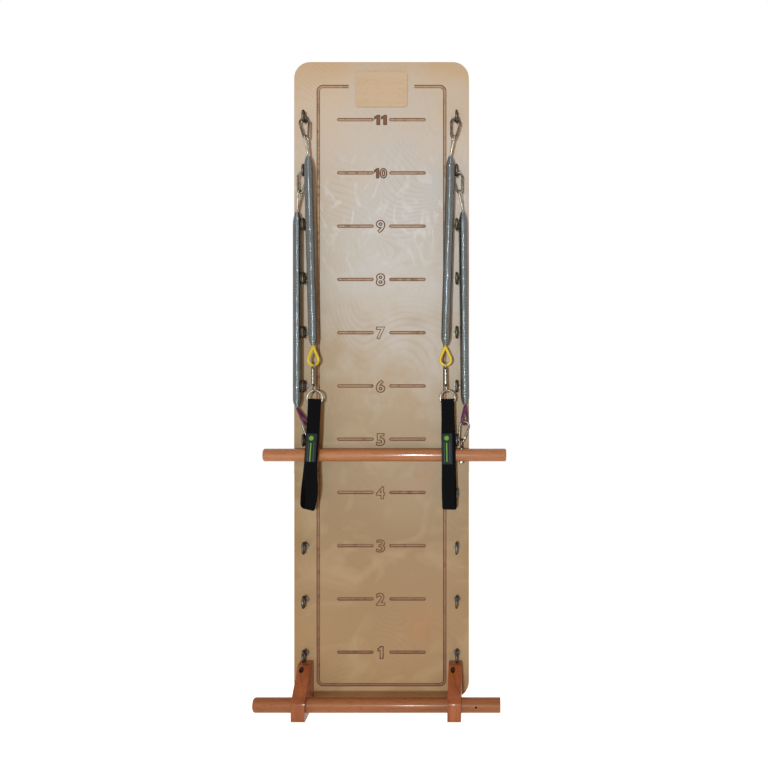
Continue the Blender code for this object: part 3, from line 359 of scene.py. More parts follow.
def make_birch_face():
    """The face veneer: tones and painted light by height, rings, pale figure, stains and pores."""
    look, tree, shader = start_finish("birch_face", Roughness=0.45, Specular_IOR_Level=0.30)
    where = axes(tree)
    base = height_tones(tree, where["Z"])
    base = mixed(tree, growth_rings(tree, where), base, tone(138, 102, 64))
    base = add_stains(tree, add_pale_figure(tree, base, where["Z"]))
    pores = add_pores(tree, shader, "z")
    base = mixed(tree, times(tree, pores, 0.12), base, tone(140, 104, 70))
    tree.links.new(base, shader.inputs["Base Color"])
    return look


# %% Ply edge
VENEER = 0.0015


def make_ply_edge():
    """The cut edge: light and dark layers of veneer in turn."""
    look, tree, shader = start_finish("ply_edge", Roughness=0.6)
    wander = times(tree, noise(tree, (12, 12, 12), 2.0), 0.0006)
    depth = plus(tree, axes(tree)["Y"], wander)
    layer = maths(tree, "SINE", times(tree, depth, math.tau / (2 * VENEER)))
    colour = stepped(tree, ranged(tree, layer, -1, 1),
                     [(0.0, tone(158, 104, 60)), (0.35, tone(204, 146, 96)),
                      (1.0, tone(222, 172, 122))])
    fleck = noise(tree, (300, 900, 60), 2.0)
    colour = mixed(tree, ranged(tree, fleck, 0.5, 0.7, 0.0, 0.35), colour, tone(120, 82, 48))
    tree.links.new(colour, shader.inputs["Base Color"])
    relief(tree, shader, layer, 0.00008)
    return look


birch_face = make_birch_face()
ply_edge = make_ply_edge()
print("finishes:", birch_face.name, ply_edge.name)

# %% [markdown]
# ## Routed lines and burnt numbers
#
# A router cut the level slots and the frame line. Its bit scorches the rim and leaves lighter
# wood at the foot of the cut, and the rim colour also carries painted shade on the walls of the
# cut, which is why each groove reads as two dark lines. Depth below the face tells rim from
# foot, and height tells how brown the foot is; low on the board the slots' foot is darker, with
# the face's painted light. The numbers are a finer, darker cut.


# %% Groove finishes
def make_groove(name, rim, foot, low_foot, depth):
    """Scorch and painted shade at the rim, lighter at the foot of the cut, browner low on the board.
    """
    look, tree, shader = start_finish(name, Roughness=0.7)
    where = axes(tree)
    foot = mixed(tree, ranged(tree, where["Z"], -0.80, 0.45), low_foot, foot)
    smudge = noise(tree, (60, 60, 60), 3.0, 0.6)
    # Painted shade: toward the face the walls take the dark rim colour, besides the scorch.
    share = ranged(tree, where["Y"], BOARD_FRONT + 0.45 * depth, BOARD_FRONT + 0.92 * depth)
    share = times(tree, share, ranged(tree, smudge, 0.30, 0.50, 0.30, 1.0))
    tree.links.new(mixed(tree, share, rim, foot), shader.inputs["Base Color"])
    relief(tree, shader, noise(tree, (900, 900, 120), 2.0), 0.00006)
    return look


SLOT_DEPTH, NUMBER_DEPTH = 0.0035, 0.0014
# The slots' darker low foot goes with the face's painted light from above.
groove_look = make_groove("routed_groove", tone(94, 62, 40), tone(174, 139, 106),
                          tone(134, 91, 58), SLOT_DEPTH)
number_look = make_groove("burnt_number", tone(118, 76, 46), tone(98, 60, 36),
                          tone(110, 70, 42), NUMBER_DEPTH)

# %% [markdown]
# ## Stained beech
#
# The bars and the two blocks are beech under an orange-brown stain and clear lacquer. Beech
# shows even lines along the grain and small dark flecks. One recipe serves all of them, with
# the grain turned along the bar or up the block. The lacquer is the shader's own coat. The foot
# rail's copy is painted darker than the roll-down bar's, as painted shade low on the board, and
# the blocks' copy is darker again, partly their own stain and partly painted shade.


# %% Beech and the pale plate
def make_wood(name, along, light, dark, fleck, coat=0.0, roughness=0.42):
    """A plain-sawn wood with its grain along one axis."""
    look, tree, shader = start_finish(name, Roughness=roughness, Coat_Weight=coat,
                                      Specular_IOR_Level=0.25, Coat_Roughness=0.12,
                                      Specular_Tint=(1.0, 0.84, 0.66, 1.0))
    axis = "xyz".index(along)
    broad, fine, short = [26, 26, 26], [260, 260, 260], [420, 420, 420]
    broad[axis], fine[axis], short[axis] = 1.3, 5, 60
    figure = noise(tree, broad, 3.0, 0.5, 0.8)
    lines = noise(tree, fine, 3.0, 0.6, 0.3)
    flecks = noise(tree, short, 1.0, move=(2, 2, 2))
    colour = mixed(tree, ranged(tree, figure, 0.35, 0.68), light, dark)
    colour = mixed(tree, ranged(tree, lines, 0.42, 0.72, 0.0, 0.5), colour, dark)
    colour = mixed(tree, ranged(tree, flecks, 0.60, 0.72, 0.0, 0.6), colour, fleck)
    tree.links.new(colour, shader.inputs["Base Color"])
    tree.links.new(ranged(tree, lines, 0.3, 0.7, roughness - 0.06, roughness + 0.1),
                   shader.inputs["Roughness"])
    add_pores(tree, shader, along, 0.00003)
    return look


beech_bar = make_wood("beech_bar", "x", tone(182, 118, 72), tone(154, 94, 55), tone(106, 60, 35),
                      coat=0.50)
# Painted shade: the foot rail is a darker copy of the bar's beech.
shaded_beech_rail = make_wood("shaded_beech_rail", "x", tone(164, 102, 62), tone(134, 78, 44), tone(96, 52, 28),
                       coat=0.12)
# The blocks' darker copy is partly their stain and partly painted shade.
shaded_beech_block = make_wood("shaded_beech_block", "z", tone(160, 86, 42), tone(130, 65, 30), tone(92, 44, 20),
                        coat=0.30)
plate_wood = make_wood("plate_wood", "x", tone(198, 171, 142), tone(192, 164, 132),
                       tone(180, 150, 118), coat=0.1)
bored_wood = make_wood("bored_wood", "y", tone(70, 38, 22), tone(48, 26, 15), tone(40, 22, 12),
                       roughness=0.8)

# %% [markdown]
# ## Metal and coatings
#
# The eye bolts and hooks are zinc plate that has gone dull, the snaps, rings and upper loops are
# nickel plate, and the springs are oiled steel, greyer and a little green. The lower loops are
# dipped in coloured plastic that tells the spring's weight. Under a white studio a metal shows
# white, so its own colour has to carry the darkness that it has in the photograph. On the
# springs the outside of each turn is painted bright, as a painted highlight, and the wire
# between the turns painted dark, as painted shade: a measure of their own, kept on the points
# of the wire, tells the finish where the outside of a turn is.


# %% Metal and coating finishes
def make_metal(name, colour, dull, roughness):
    """Plated metal with cloudy duller patches and fine handling scratches."""
    look, tree, shader = start_finish(name, Metallic=1.0, Specular_Tint=(0.25, 0.25, 0.25, 1.0))
    cloud = noise(tree, (120, 120, 120), 3.0, 0.6)
    tree.links.new(mixed(tree, ranged(tree, cloud, 0.35, 0.7), colour, dull),
                   shader.inputs["Base Color"])
    marks = noise(tree, (2600, 2600, 500), 2.0, 0.7)
    rough = plus(tree, ranged(tree, cloud, 0.3, 0.7, roughness, roughness + 0.14),
                 ranged(tree, marks, 0.55, 0.75, 0.0, 0.10))
    tree.links.new(rough, shader.inputs["Roughness"])
    relief(tree, shader, marks, 0.00001)
    return look


def make_spring_steel():
    """Oiled wire: painted shade between the turns, a painted highlight along the outside of each
    turn.
    """
    look, tree, shader = start_finish("oiled_spring_steel", Metallic=1.0,
                                      Specular_Tint=(0.7, 0.7, 0.7, 1.0))
    crest = tree.nodes.new("ShaderNodeAttribute")
    crest.attribute_name = "crest"
    cloud = noise(tree, (60, 60, 9), 2.0)
    colour = mixed(tree, ranged(tree, cloud, 0.35, 0.7), tone(76, 81, 80), tone(64, 68, 67))
    # Painted highlight on the outside of each turn; the rest keeps the dark colour as painted shade.
    crest_highlight = ranged(tree, crest.outputs["Fac"], 0.90, 1.0)
    tree.links.new(mixed(tree, crest_highlight, colour, tone(226, 229, 226)), shader.inputs["Base Color"])
    tree.links.new(ranged(tree, cloud, 0.3, 0.7, 0.12, 0.18), shader.inputs["Roughness"])
    return look


def make_coating(name, colour, worn, dark):
    """Dipped plastic over wire: even, satin, with a few rubbed and darker places."""
    look, tree, shader = start_finish(name, Coat_Weight=0.1, Coat_Roughness=0.3,
                                      Specular_IOR_Level=0.3)
    rub = noise(tree, (140, 140, 140), 3.0, 0.6)
    colour = mixed(tree, ranged(tree, rub, 0.56, 0.74, 0.0, 0.6), colour, worn)
    colour = mixed(tree, ranged(tree, rub, 0.40, 0.26, 0.0, 0.6), colour, dark)
    tree.links.new(colour, shader.inputs["Base Color"])
    tree.links.new(ranged(tree, rub, 0.3, 0.7, 0.30, 0.48), shader.inputs["Roughness"])
    relief(tree, shader, noise(tree, (420, 420, 420), 2.0), 0.00008)
    return look


zinc = make_metal("zinc_plate", tone(128, 119, 105), tone(62, 56, 50), 0.24)
dark_zinc = make_metal("dark_zinc", tone(108, 98, 84), tone(56, 50, 44), 0.34)
bright_nickel = make_metal("bright_nickel", tone(196, 186, 168), tone(122, 112, 98), 0.15)
cast_nickel = make_metal("cast_nickel", tone(146, 138, 124), tone(78, 70, 62), 0.20)
spring_steel = make_spring_steel()
yellow = make_coating("yellow_coating", tone(208, 180, 30), tone(226, 202, 80), tone(150, 120, 18))
purple = make_coating("purple_coating", tone(86, 24, 68), tone(120, 54, 98), tone(52, 10, 42))

# %% [markdown]
# ## Shapes from a few rules
#
# Wire, turned parts and flat plates make up the whole object. Each helper below gives a plain
# closed mesh: a curve with a round bevel for wire, rings of points round an axis for turned
# parts, a filled outline for plates. Joining and cutting is left to Boolean modifiers, whose
# result is kept as a mesh, so that nothing is left to evaluate on a finished piece.


# %% Plain meshes and wire
def scratch(data):
    """A throw-away object that carries a curve or mesh while it is evaluated."""
    item = bpy.data.objects.new("scratch", data)
    bpy.context.scene.collection.objects.link(item)
    return item


def cleaned(mesh, merge=0.000002):
    """Merge doubled points and turn every face outward."""
    work = bmesh.new()
    work.from_mesh(mesh)
    bmesh.ops.remove_doubles(work, verts=work.verts, dist=merge)
    bmesh.ops.recalc_face_normals(work, faces=work.faces)
    work.to_mesh(mesh)
    work.free()
    return mesh


def settled(item):
    """The plain mesh of an object with its modifiers; the object itself goes."""
    bpy.context.view_layer.update()
    graph = bpy.context.evaluated_depsgraph_get()
    mesh = bpy.data.meshes.new_from_object(item.evaluated_get(graph), depsgraph=graph)
    bpy.data.objects.remove(item, do_unlink=True)
    return cleaned(mesh)


def moved(mesh, place):
    """The same mesh in another place."""
    mesh.transform(place)
    return mesh


def wire(points, radius, closed=False, sides=16, radii=None):
    """A round wire along the points, with closed ends."""
    curve = bpy.data.curves.new("wire", "CURVE")
    curve.dimensions = "3D"
    curve.bevel_depth = radius
    curve.bevel_resolution = (sides - 4) // 2
    curve.use_fill_caps = True
    spline = curve.splines.new("POLY")
    spline.points.add(len(points) - 1)
    spline.use_cyclic_u = closed
    for index, point in enumerate(points):
        spline.points[index].co = (*point, 1.0)
        spline.points[index].radius = radii[index] if radii else 1.0
    return settled(scratch(curve))


# %% Turned parts and outlines
def turned(profile, steps=32, place=None):
    """A turned part: (radius, height) points from the top of its axis to the foot."""
    work = bmesh.new()
    rings = []
    for radius, height in profile:
        count = steps if radius else 1
        rings.append([work.verts.new((radius * math.cos(math.tau * n / steps),
                                      radius * math.sin(math.tau * n / steps), height))
                      for n in range(count)])
    for upper, lower in zip(rings, rings[1:]):
        for n in range(steps):
            m = (n + 1) % steps
            corners = [upper[n % len(upper)], lower[n % len(lower)],
                       lower[m % len(lower)], upper[m % len(upper)]]
            work.faces.new(list(dict.fromkeys(corners)))
    mesh = bpy.data.meshes.new("turned")
    work.to_mesh(mesh)
    work.free()
    return moved(cleaned(mesh), place or Matrix())


def rod(radius, top, bottom):
    """The profile of a plain rod."""
    return [(0, top), (radius, top), (radius, bottom), (0, bottom)]


def arc(centre, radius, start, end, steps):
    """Points on a circle between two angles in degrees."""
    angles = [math.radians(start + (end - start) * n / steps) for n in range(steps + 1)]
    return [(centre[0] + radius * math.cos(a), centre[1] + radius * math.sin(a)) for a in angles]


def rounded(corners, radius, steps):
    """An outline with each corner of a convex polygon rounded; corners run anticlockwise."""
    outline = []
    for index, corner in enumerate(corners):
        here = Vector(corner)
        before = (Vector(corners[index - 1]) - here).normalized()
        after = (Vector(corners[(index + 1) % len(corners)]) - here).normalized()
        half = before.angle(after) / 2
        centre = here + (before + after).normalized() * radius / math.sin(half)
        first = here + before * radius / math.tan(half) - centre
        last = here + after * radius / math.tan(half) - centre
        start = math.degrees(math.atan2(first.y, first.x))
        outline += arc(centre, radius, start, start - math.degrees(first.angle_signed(last)), steps)
    return outline


def box_corners(width, height, centre=(0, 0)):
    """The four corners of a rectangle, anticlockwise."""
    x, y = centre
    return [(x + a * width / 2, y + b * height / 2) for a, b in ((-1, -1), (1, -1), (1, 1), (-1, 1))]


# %% Plates
FACE_FRONT = Matrix.Rotation(math.radians(90), 4, "X")
FACE_SIDE = Matrix(((0, 0, 1, 0), (1, 0, 0, 0), (0, 1, 0, 0), (0, 0, 0, 1)))
ALONG_X = Matrix.Rotation(math.radians(90), 4, "Y")


def plate(outline, thickness, place, edge=0.0, segments=3):
    """A flat plate with softened edges."""
    curve = bpy.data.curves.new("plate", "CURVE")
    curve.dimensions = "2D"
    curve.fill_mode = "BOTH"
    curve.extrude = thickness / 2
    spline = curve.splines.new("POLY")
    spline.points.add(len(outline) - 1)
    spline.use_cyclic_u = True
    for index, (x, y) in enumerate(outline):
        spline.points[index].co = (x, y, 0.0, 1.0)
    mesh = moved(settled(scratch(curve)), place)
    if edge:
        item = scratch(mesh)
        soften = item.modifiers.new("edges", "BEVEL")
        soften.width = edge
        soften.segments = segments
        soften.limit_method = "ANGLE"
        soften.angle_limit = math.radians(60)
        mesh = settled(item)
    return mesh


# %% Joining, cutting and growing
def combined(mesh, others, operation, crossing=False):
    """One mesh joined with others, or cut by them; a cut keeps the cutter's finish."""
    work = bmesh.new()
    for other in others:
        if crossing or operation == "DIFFERENCE":
            work.from_mesh(other)
    if operation == "DIFFERENCE":
        together = bpy.data.meshes.new("cutters")
        work.to_mesh(together)
        for look in others[0].materials:
            together.materials.append(look)
        others = [together]
    work.free()
    body = scratch(mesh)
    tools = [scratch(other) for other in others]
    for tool in tools:
        step = body.modifiers.new("step", "BOOLEAN")
        step.operation = operation
        step.solver = "EXACT"
        step.material_mode = "TRANSFER"
        step.use_self = crossing
        step.object = tool
    result = settled(body)
    for tool in tools:
        bpy.data.objects.remove(tool, do_unlink=True)
    return result


def grown(tree, **inputs):
    """Run a Geometry Nodes tree once, with its named inputs set, and keep the plain mesh."""
    holder = scratch(bpy.data.meshes.new("holder"))
    step = holder.modifiers.new("grow", "NODES")
    step.node_group = tree
    for socket in tree.interface.items_tree:
        if socket.in_out == "INPUT" and socket.name in inputs:
            step[socket.identifier] = inputs[socket.name]
    return settled(holder)


# %% Hang a finished piece
def hung(name, mesh, look, body, nodes=(), sharp=32):
    """Put a finished mesh on its body, in place of the CAD nodes that it stands for."""
    if look:
        mesh.materials.clear()
        mesh.materials.append(look)
    mesh.shade_smooth()
    mesh.set_sharp_from_angle(angle=math.radians(sharp))
    piece = bpy.data.objects.new(name, mesh)
    bpy.context.scene.collection.objects.link(piece)
    if body:
        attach(piece, body)
    if nodes:
        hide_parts(*nodes)
    print(f"{name}: {len(mesh.polygons)} faces")
    return piece


# %% [markdown]
# ## The panel
#
# The board is a sheet of plywood with rounded corners and eased edges. On each side of the
# centre line it has eleven short slots, and one routed line frames its face. All cuts are
# round-nosed, so a wire of the router bit's size, laid along the face, is the right cutter.
# GAP is the thin play that is left between parts which touch.

# %% Sizes of the panel
GAP = 0.0003
BOARD_CORNER, BOARD_EDGE = 0.046, 0.005
LEVELS = 11
LEVEL_PITCH = 0.1524
TOP_LEVEL = BOARD[1] / 2 - 0.165
SLOT_WIDTH = 0.010
SLOT_START = 0.022
SLOT_LENGTH = 0.105
EYE_SPACING = 0.432
EYE_STAND_OFF = 0.040
EYE_SHANK, EYE_HOLE_DEPTH = 0.008, 0.0233
FRAME_SIDE, FRAME_TOP, FRAME_FOOT, FRAME_BEND, FRAME_OPEN = 0.181, 0.070, 0.038, 0.014, 0.094


def level_height(level):
    """How high a numbered level lies above the middle of the board."""
    return TOP_LEVEL - (LEVELS - level) * LEVEL_PITCH


def groove(points, radii=None):
    """The cutter of a round-nosed groove along points on the face."""
    sink = SLOT_WIDTH / 2 - SLOT_DEPTH
    path = [(x, BOARD_FRONT - sink, z) for x, z in points]
    mesh = wire(path, SLOT_WIDTH / 2, False, 20, radii)
    mesh.materials.append(groove_look)
    return mesh


def slot_cutter(side, height):
    """One level slot, with a ball-shaped end."""
    reach = SLOT_WIDTH / 2
    ends = [(1 - math.cos(math.radians(a)), math.sin(math.radians(a))) for a in (12, 30, 50, 70, 90)]
    line = [(SLOT_START + reach * a, b) for a, b in ends]
    line += [(SLOT_START + SLOT_LENGTH - reach * a, b) for a, b in reversed(ends)]
    return groove([(side * x, height) for x, _ in line], [share for _, share in line])


def frame_line():
    """The cutter of the line round the face, open at the top for the plate."""
    top, foot = BOARD[1] / 2 - FRAME_TOP, FRAME_FOOT - BOARD[1] / 2
    inner = FRAME_SIDE - FRAME_BEND
    half = [(FRAME_OPEN, top)] + arc((inner, top - FRAME_BEND), FRAME_BEND, 90, 0, 10)
    half += arc((inner, foot + FRAME_BEND), FRAME_BEND, 0, -90, 10)
    return groove(half + [(-x, z) for x, z in reversed(half)])


print("levels from", round(level_height(1), 3), "to", round(level_height(LEVELS), 3))

# %% [markdown]
# ## Numbers between the slots
#
# Each level has its number, cut as a thin outline. Text is a curve of faces, and what is wanted
# is its rim, so the text becomes a mesh, its boundary edges are walked into loops, and a fine
# wire along each loop cuts the face. The font's 1 is a bare stroke, so this 1 is drawn by its
# corners. Two-digit numbers are lower and wider, to fit the gap, and each 1 in them is cut out
# whole. The single 1 has the broadest line, and takes the finish of the slots.


# %% Outline cutters for the numbers
def boundary_loops(mesh):
    """The open edges of a flat mesh, walked into closed loops of points."""
    work = bmesh.new()
    work.from_mesh(mesh)
    bmesh.ops.remove_doubles(work, verts=work.verts, dist=0.00001)
    left = {edge for edge in work.edges if edge.is_boundary}
    loops = []
    while left:
        edge = min(left, key=lambda item: item.index)
        left.remove(edge)
        loop = [edge.verts[0], edge.verts[1]]
        while loop[-1] is not loop[0]:
            onward = [item for item in loop[-1].link_edges if item in left]
            if not onward:
                break
            left.remove(onward[0])
            loop.append(onward[0].other_vert(loop[-1]))
        loops.append([tuple(vert.co) for vert in loop[:-1]])
    work.free()
    return loops


ONE = ((0.20, 0.0), (0.46, 0.0), (0.46, 1.0), (0.27, 1.0), (0.0, 0.80), (0.0, 0.60), (0.20, 0.70))
ONE_WIDTH = 0.46
FATTEN, FATTEN_THREE = 0.030, 0.010
DIGIT_GAP = 0.13
NUMBER_SHIFT = (-0.0028, -0.001)
POCKET = 0.0022


def digit_loops(digit):
    """The rims of one digit, one unit high, from x = 0; also its width."""
    if digit == "1":
        return [[Vector(p) for p in ONE]], ONE_WIDTH
    text = bpy.data.curves.new("digit", "FONT")
    text.body = digit
    text.size = 1.0
    text.offset = FATTEN_THREE if digit == "3" else FATTEN
    text.resolution_u = 5
    loops = boundary_loops(settled(scratch(text)))
    xs = [point[0] for loop in loops for point in loop]
    ys = [point[1] for loop in loops for point in loop]
    high = max(ys) - min(ys)
    loops = [[Vector(((x - min(xs)) / high, (y - min(ys)) / high)) for x, y, _ in loop]
             for loop in loops]
    return loops, (max(xs) - min(xs)) / high


def number_size(level):
    """The width and height of a number and the radius of its line."""
    if level > 9:
        return 0.0350, 0.0265, 0.0020
    return (0.0150, 0.0345, 0.0023) if level == 1 else (0.0240, 0.0345, 0.0018)


def cutter(mesh, look):
    """A mesh that leaves one of the two cut finishes behind where it cuts."""
    finishes = (groove_look, number_look)
    for finish in finishes:
        mesh.materials.append(finish)
    for face in mesh.polygons:
        face.material_index = finishes.index(look)
    return mesh


def number_cutters(level):
    """Fine closed wires along the rims of one number, and pockets for the whole ones."""
    width, height, line_radius = number_size(level)
    look = groove_look if level == 1 else number_look
    digits = [digit_loops(digit) for digit in str(level)]
    gap = DIGIT_GAP * (len(digits) - 1)
    stretch = width / (sum(wide for _, wide in digits) + gap)
    across, up = NUMBER_SHIFT
    place = Matrix.Translation((across, BOARD_FRONT - GAP, level_height(level) + up)) @ FACE_FRONT
    cuts, left = [], -width / 2
    for digit, (loops, wide) in zip(str(level), digits):
        if level > 9 and digit == "1":
            corners = [(left + x * stretch, (y - 0.5) * height) for x, y in ONE]
            cuts.append(cutter(plate(corners, POCKET, place), look))
        for loop in loops:
            points = [place @ Vector((left + p.x * stretch, (p.y - 0.5) * height, 0)) for p in loop]
            cuts.append(cutter(wire(points, line_radius, True, 8), look))
        left += (wide + gap) * stretch
    return cuts


# %% Cut the panel
def make_panel():
    """The plywood sheet with its slots, frame line, numbers and bolt holes."""
    outline = rounded(box_corners(BOARD[0], BOARD[1]), BOARD_CORNER, 14)
    middle = Matrix.Translation((0, BOARD_FRONT / 2, 0)) @ FACE_FRONT
    mesh = plate(outline, BOARD[2], middle, BOARD_EDGE, 4)
    mesh.materials.append(birch_face)
    mesh.materials.append(ply_edge)
    for face in mesh.polygons:
        face.material_index = 0 if abs(face.normal.y) > 0.96 else 1
    cuts = []
    for level in range(1, LEVELS + 1):
        for side in (-1, 1):
            cuts.append(slot_cutter(side, level_height(level)))
            place = Matrix.Translation((side * EYE_SPACING / 2, BOARD_FRONT, level_height(level)))
            hole = turned(rod(EYE_SHANK / 2 + GAP, 0.004, -EYE_HOLE_DEPTH), 24, place @ FACE_FRONT)
            hole.materials.append(groove_look)
            cuts.append(hole)
    mesh = combined(mesh, cuts + [frame_line()], "DIFFERENCE")
    numbers = [cut for level in range(1, LEVELS + 1) for cut in number_cutters(level)]
    return combined(mesh, numbers, "DIFFERENCE", True)


hung("panel", make_panel(), None, "wall_unit", ["board"], 40)

# %% [markdown]
# ## The bare plate
#
# A small wooden plate sits in the gap of the frame line. A flat plate with well eased edges and
# rounded corners is all it needs, and its finish does the rest.

# %% Name plate
PLATE = (0.148, 0.101, 0.006)
PLATE_INSET, PLATE_CORNER, PLATE_EDGE = 0.0285, 0.008, 0.0022
plate_height = BOARD[1] / 2 - PLATE_INSET - PLATE[1] / 2
plate_place = Matrix.Translation((0, BOARD_FRONT - GAP - PLATE[2] / 2, plate_height))
plate_mesh = plate(rounded(box_corners(PLATE[0], PLATE[1]), PLATE_CORNER, 10), PLATE[2],
                   plate_place @ FACE_FRONT, PLATE_EDGE, 4)
hung("bare_plate", plate_mesh, plate_wood, "wall_unit", ["name_plate"], 50)

# %% [markdown]
# ## Eye bolts
#
# An eye bolt is a forged ring on a threaded shank, held off the board by a nut and a washer.
# All twenty-two are alike, so one is made well and Geometry Nodes sets it out: two upright
# lines of points with the level pitch between them. The ring's hole looks sideways, as it does
# when a hook hangs in it.


# %% One eye bolt
def hex_nut(across_corners, thickness):
    """A six-sided nut with turned chamfers; its top face lies at the origin."""
    outline = arc((0, 0), across_corners / 2, 0, 360, 6)[:-1]
    nut = plate(outline, thickness, Matrix.Translation((0, 0, -thickness / 2)))
    reach, ease = across_corners / 2, across_corners * 0.07
    barrel = turned([(0, 0), (reach - ease, 0), (reach, -ease * 0.6),
                     (reach, ease * 0.6 - thickness), (reach - ease, -thickness),
                     (0, -thickness)], 36)
    return combined(nut, [barrel], "INTERSECT")


def threaded(radius, top, bottom, pitch):
    """The profile of a threaded shank, as closely stacked ridges."""
    profile = [(0, top), (radius - 0.0006, top)]
    height = top - 0.0003
    while height - pitch > bottom:
        profile += [(radius - 0.0005, height), (radius, height - pitch * 0.5)]
        height -= pitch
    return profile + [(radius - 0.0005, bottom + 0.0003), (0, bottom)]


def eye_bolt(outer, wire_size, stand_off, shank, length, nut, washer):
    """A whole eye bolt; the ring's centre is at the origin and the shank runs down -Z."""
    radius = (outer - wire_size) / 2
    ring = wire([(0, y, z) for y, z in arc((0, 0), radius, 0, 360, 40)[:-1]], wire_size / 2,
                True, 16)
    neck = turned([(0, -radius + 0.002), (wire_size * 0.42, -radius + 0.001),
                   (wire_size * 0.56, -radius - wire_size * 0.42),
                   (shank / 2 + 0.0005, -radius - wire_size * 0.62),
                   (shank / 2, -radius - wire_size * 0.85), (shank / 2, -stand_off + 0.012),
                   (0, -stand_off + 0.012)], 28)
    thread = turned(threaded(shank / 2, 0.0122 - stand_off, -length, 0.00125), 28)
    face = washer[1] - stand_off + GAP
    ease = 0.0003
    disc = turned([(0, face), (washer[0] / 2 - ease, face), (washer[0] / 2, face - ease),
                   (washer[0] / 2, face - washer[1] + ease),
                   (washer[0] / 2 - ease, face - washer[1]), (0, face - washer[1])], 36)
    hexagon = moved(hex_nut(*nut), Matrix.Translation((0, 0, face + nut[1])))
    return combined(ring, [neck, thread, disc, hexagon], "UNION")


EYE_OUTER, EYE_WIRE, EYE_LENGTH = 0.036, 0.007, 0.063
EYE_NUT, EYE_WASHER = (0.015, 0.006), (0.020, 0.0016)
board_bolt = eye_bolt(EYE_OUTER, EYE_WIRE, EYE_STAND_OFF, EYE_SHANK, EYE_LENGTH, EYE_NUT,
                      EYE_WASHER)
print("one eye bolt:", len(board_bolt.polygons), "faces")


# %% Set out the eye bolts with Geometry Nodes
def start_tree(name, sockets):
    """A Geometry Nodes tree with named inputs; returns it with its input and output nodes."""
    tree = bpy.data.node_groups.new(name, "GeometryNodeTree")
    for label, kind in sockets:
        tree.interface.new_socket(label, in_out="INPUT", socket_type="NodeSocket" + kind)
    tree.interface.new_socket("Geometry", in_out="OUTPUT", socket_type="NodeSocketGeometry")
    return tree, tree.nodes.new("NodeGroupInput"), tree.nodes.new("NodeGroupOutput")


def end_tree(tree, start, end, geometry):
    """Realise what the tree made, give it its finish, and hand it out."""
    real = lay(tree, "GeometryNodeRealizeInstances", {0: geometry})
    dressed = lay(tree, "GeometryNodeSetMaterial",
                  {"Geometry": real.outputs[0], "Material": start.outputs["Finish"]})
    tree.links.new(dressed.outputs[0], end.inputs[0])


def bolt_rows_tree():
    """Two upright rows of one bolt."""
    tree, start, end = start_tree("bolt_rows", [("Bolt", "Object"), ("Levels", "Int"),
                                                ("Pitch", "Float"), ("Spacing", "Float"),
                                                ("Stand-off", "Float"), ("Top", "Float"),
                                                ("Finish", "Material")])
    rows = tree.nodes.new("GeometryNodeJoinGeometry")
    for side in (-0.5, 0.5):
        first = lay(tree, "ShaderNodeCombineXYZ",
                    {0: times(tree, start.outputs["Spacing"], side),
                     1: times(tree, start.outputs["Stand-off"], -1.0), 2: start.outputs["Top"]})
        down = lay(tree, "ShaderNodeCombineXYZ", {2: times(tree, start.outputs["Pitch"], -1.0)})
        row = lay(tree, "GeometryNodeMeshLine", {"Count": start.outputs["Levels"],
                                                 "Start Location": first.outputs[0],
                                                 "Offset": down.outputs[0]})
        tree.links.new(row.outputs[0], rows.inputs[0])
    bolt = lay(tree, "GeometryNodeObjectInfo", {"Object": start.outputs["Bolt"]})
    laid = lay(tree, "GeometryNodeInstanceOnPoints",
               {"Points": rows.outputs[0], "Instance": bolt.outputs["Geometry"]})
    end_tree(tree, start, end, laid.outputs[0])
    return tree


EYE_Y = BOARD_FRONT - EYE_STAND_OFF
bolt_item = scratch(moved(board_bolt, FACE_FRONT))
bolt_rows = grown(bolt_rows_tree(), Bolt=bolt_item, Levels=LEVELS, Pitch=LEVEL_PITCH,
                  Spacing=EYE_SPACING, **{"Stand-off": -EYE_Y}, Top=TOP_LEVEL, Finish=dark_zinc)
bpy.data.objects.remove(bolt_item, do_unlink=True)
bolt_nodes = [f"eye_bolt_{word}_{level:02d}" for word in ("left", "right")
              for level in range(1, LEVELS + 1)]
hung("eye_bolts", bolt_rows, None, "wall_unit", bolt_nodes)
print(len(bolt_nodes), "eye bolts,", LEVEL_PITCH, "m apart")

# %% [markdown]
# ## Foot bar and its blocks
#
# Two shaped blocks are screwed to the foot of the board and carry a round bar. The block is a
# thick plate seen from its side: upright at the back, sloped in front, with a blunt nose. The
# bar passes through a bore near the nose, and a recess in the slope takes the fixing screw.


# %% Blocks and foot bar
def bar_mesh(diameter, length, first_round, last_round, steps=56):
    """A turned bar along X with rounded ends."""
    radius, half = diameter / 2, length / 2
    profile = [(0, half)]
    profile += arc((radius - last_round, half - last_round), last_round, 90, 0, 6)
    profile += arc((radius - first_round, first_round - half), first_round, 0, -90, 6)
    return turned(profile + [(0, -half)], steps, ALONG_X)


def bored(mesh, cutters):
    """Cut holes whose walls show darker end grain."""
    for cutter in cutters:
        cutter.materials.append(bored_wood)
    return combined(mesh, cutters, "DIFFERENCE")


BOARD_FOOT = -BOARD[1] / 2
FOOT_BAR, FOOT_LENGTH, FOOT_HOLE_X = 0.041, 0.680, 0.271
FOOT_BAR_AT = Vector((-0.002, BOARD_FRONT - 0.107, BOARD_FOOT + 0.017))
BLOCK_THICKNESS, BLOCK_X, BLOCK_CORNER, BLOCK_EDGE = 0.037, 0.212, 0.010, 0.006
BLOCK_BACK, BLOCK_FOOT, BLOCK_TOP = BOARD_FRONT - GAP, BOARD_FOOT - 0.018, BOARD_FOOT + 0.109
BLOCK_BROW = (BOARD_FRONT - 0.045, BLOCK_TOP)
BLOCK_NOSE = (BOARD_FRONT - 0.150, BOARD_FOOT + 0.035)
SCREW_ALONG, SCREW_ASIDE, SCREW_RADIUS = 0.018, 0.006, 0.0065


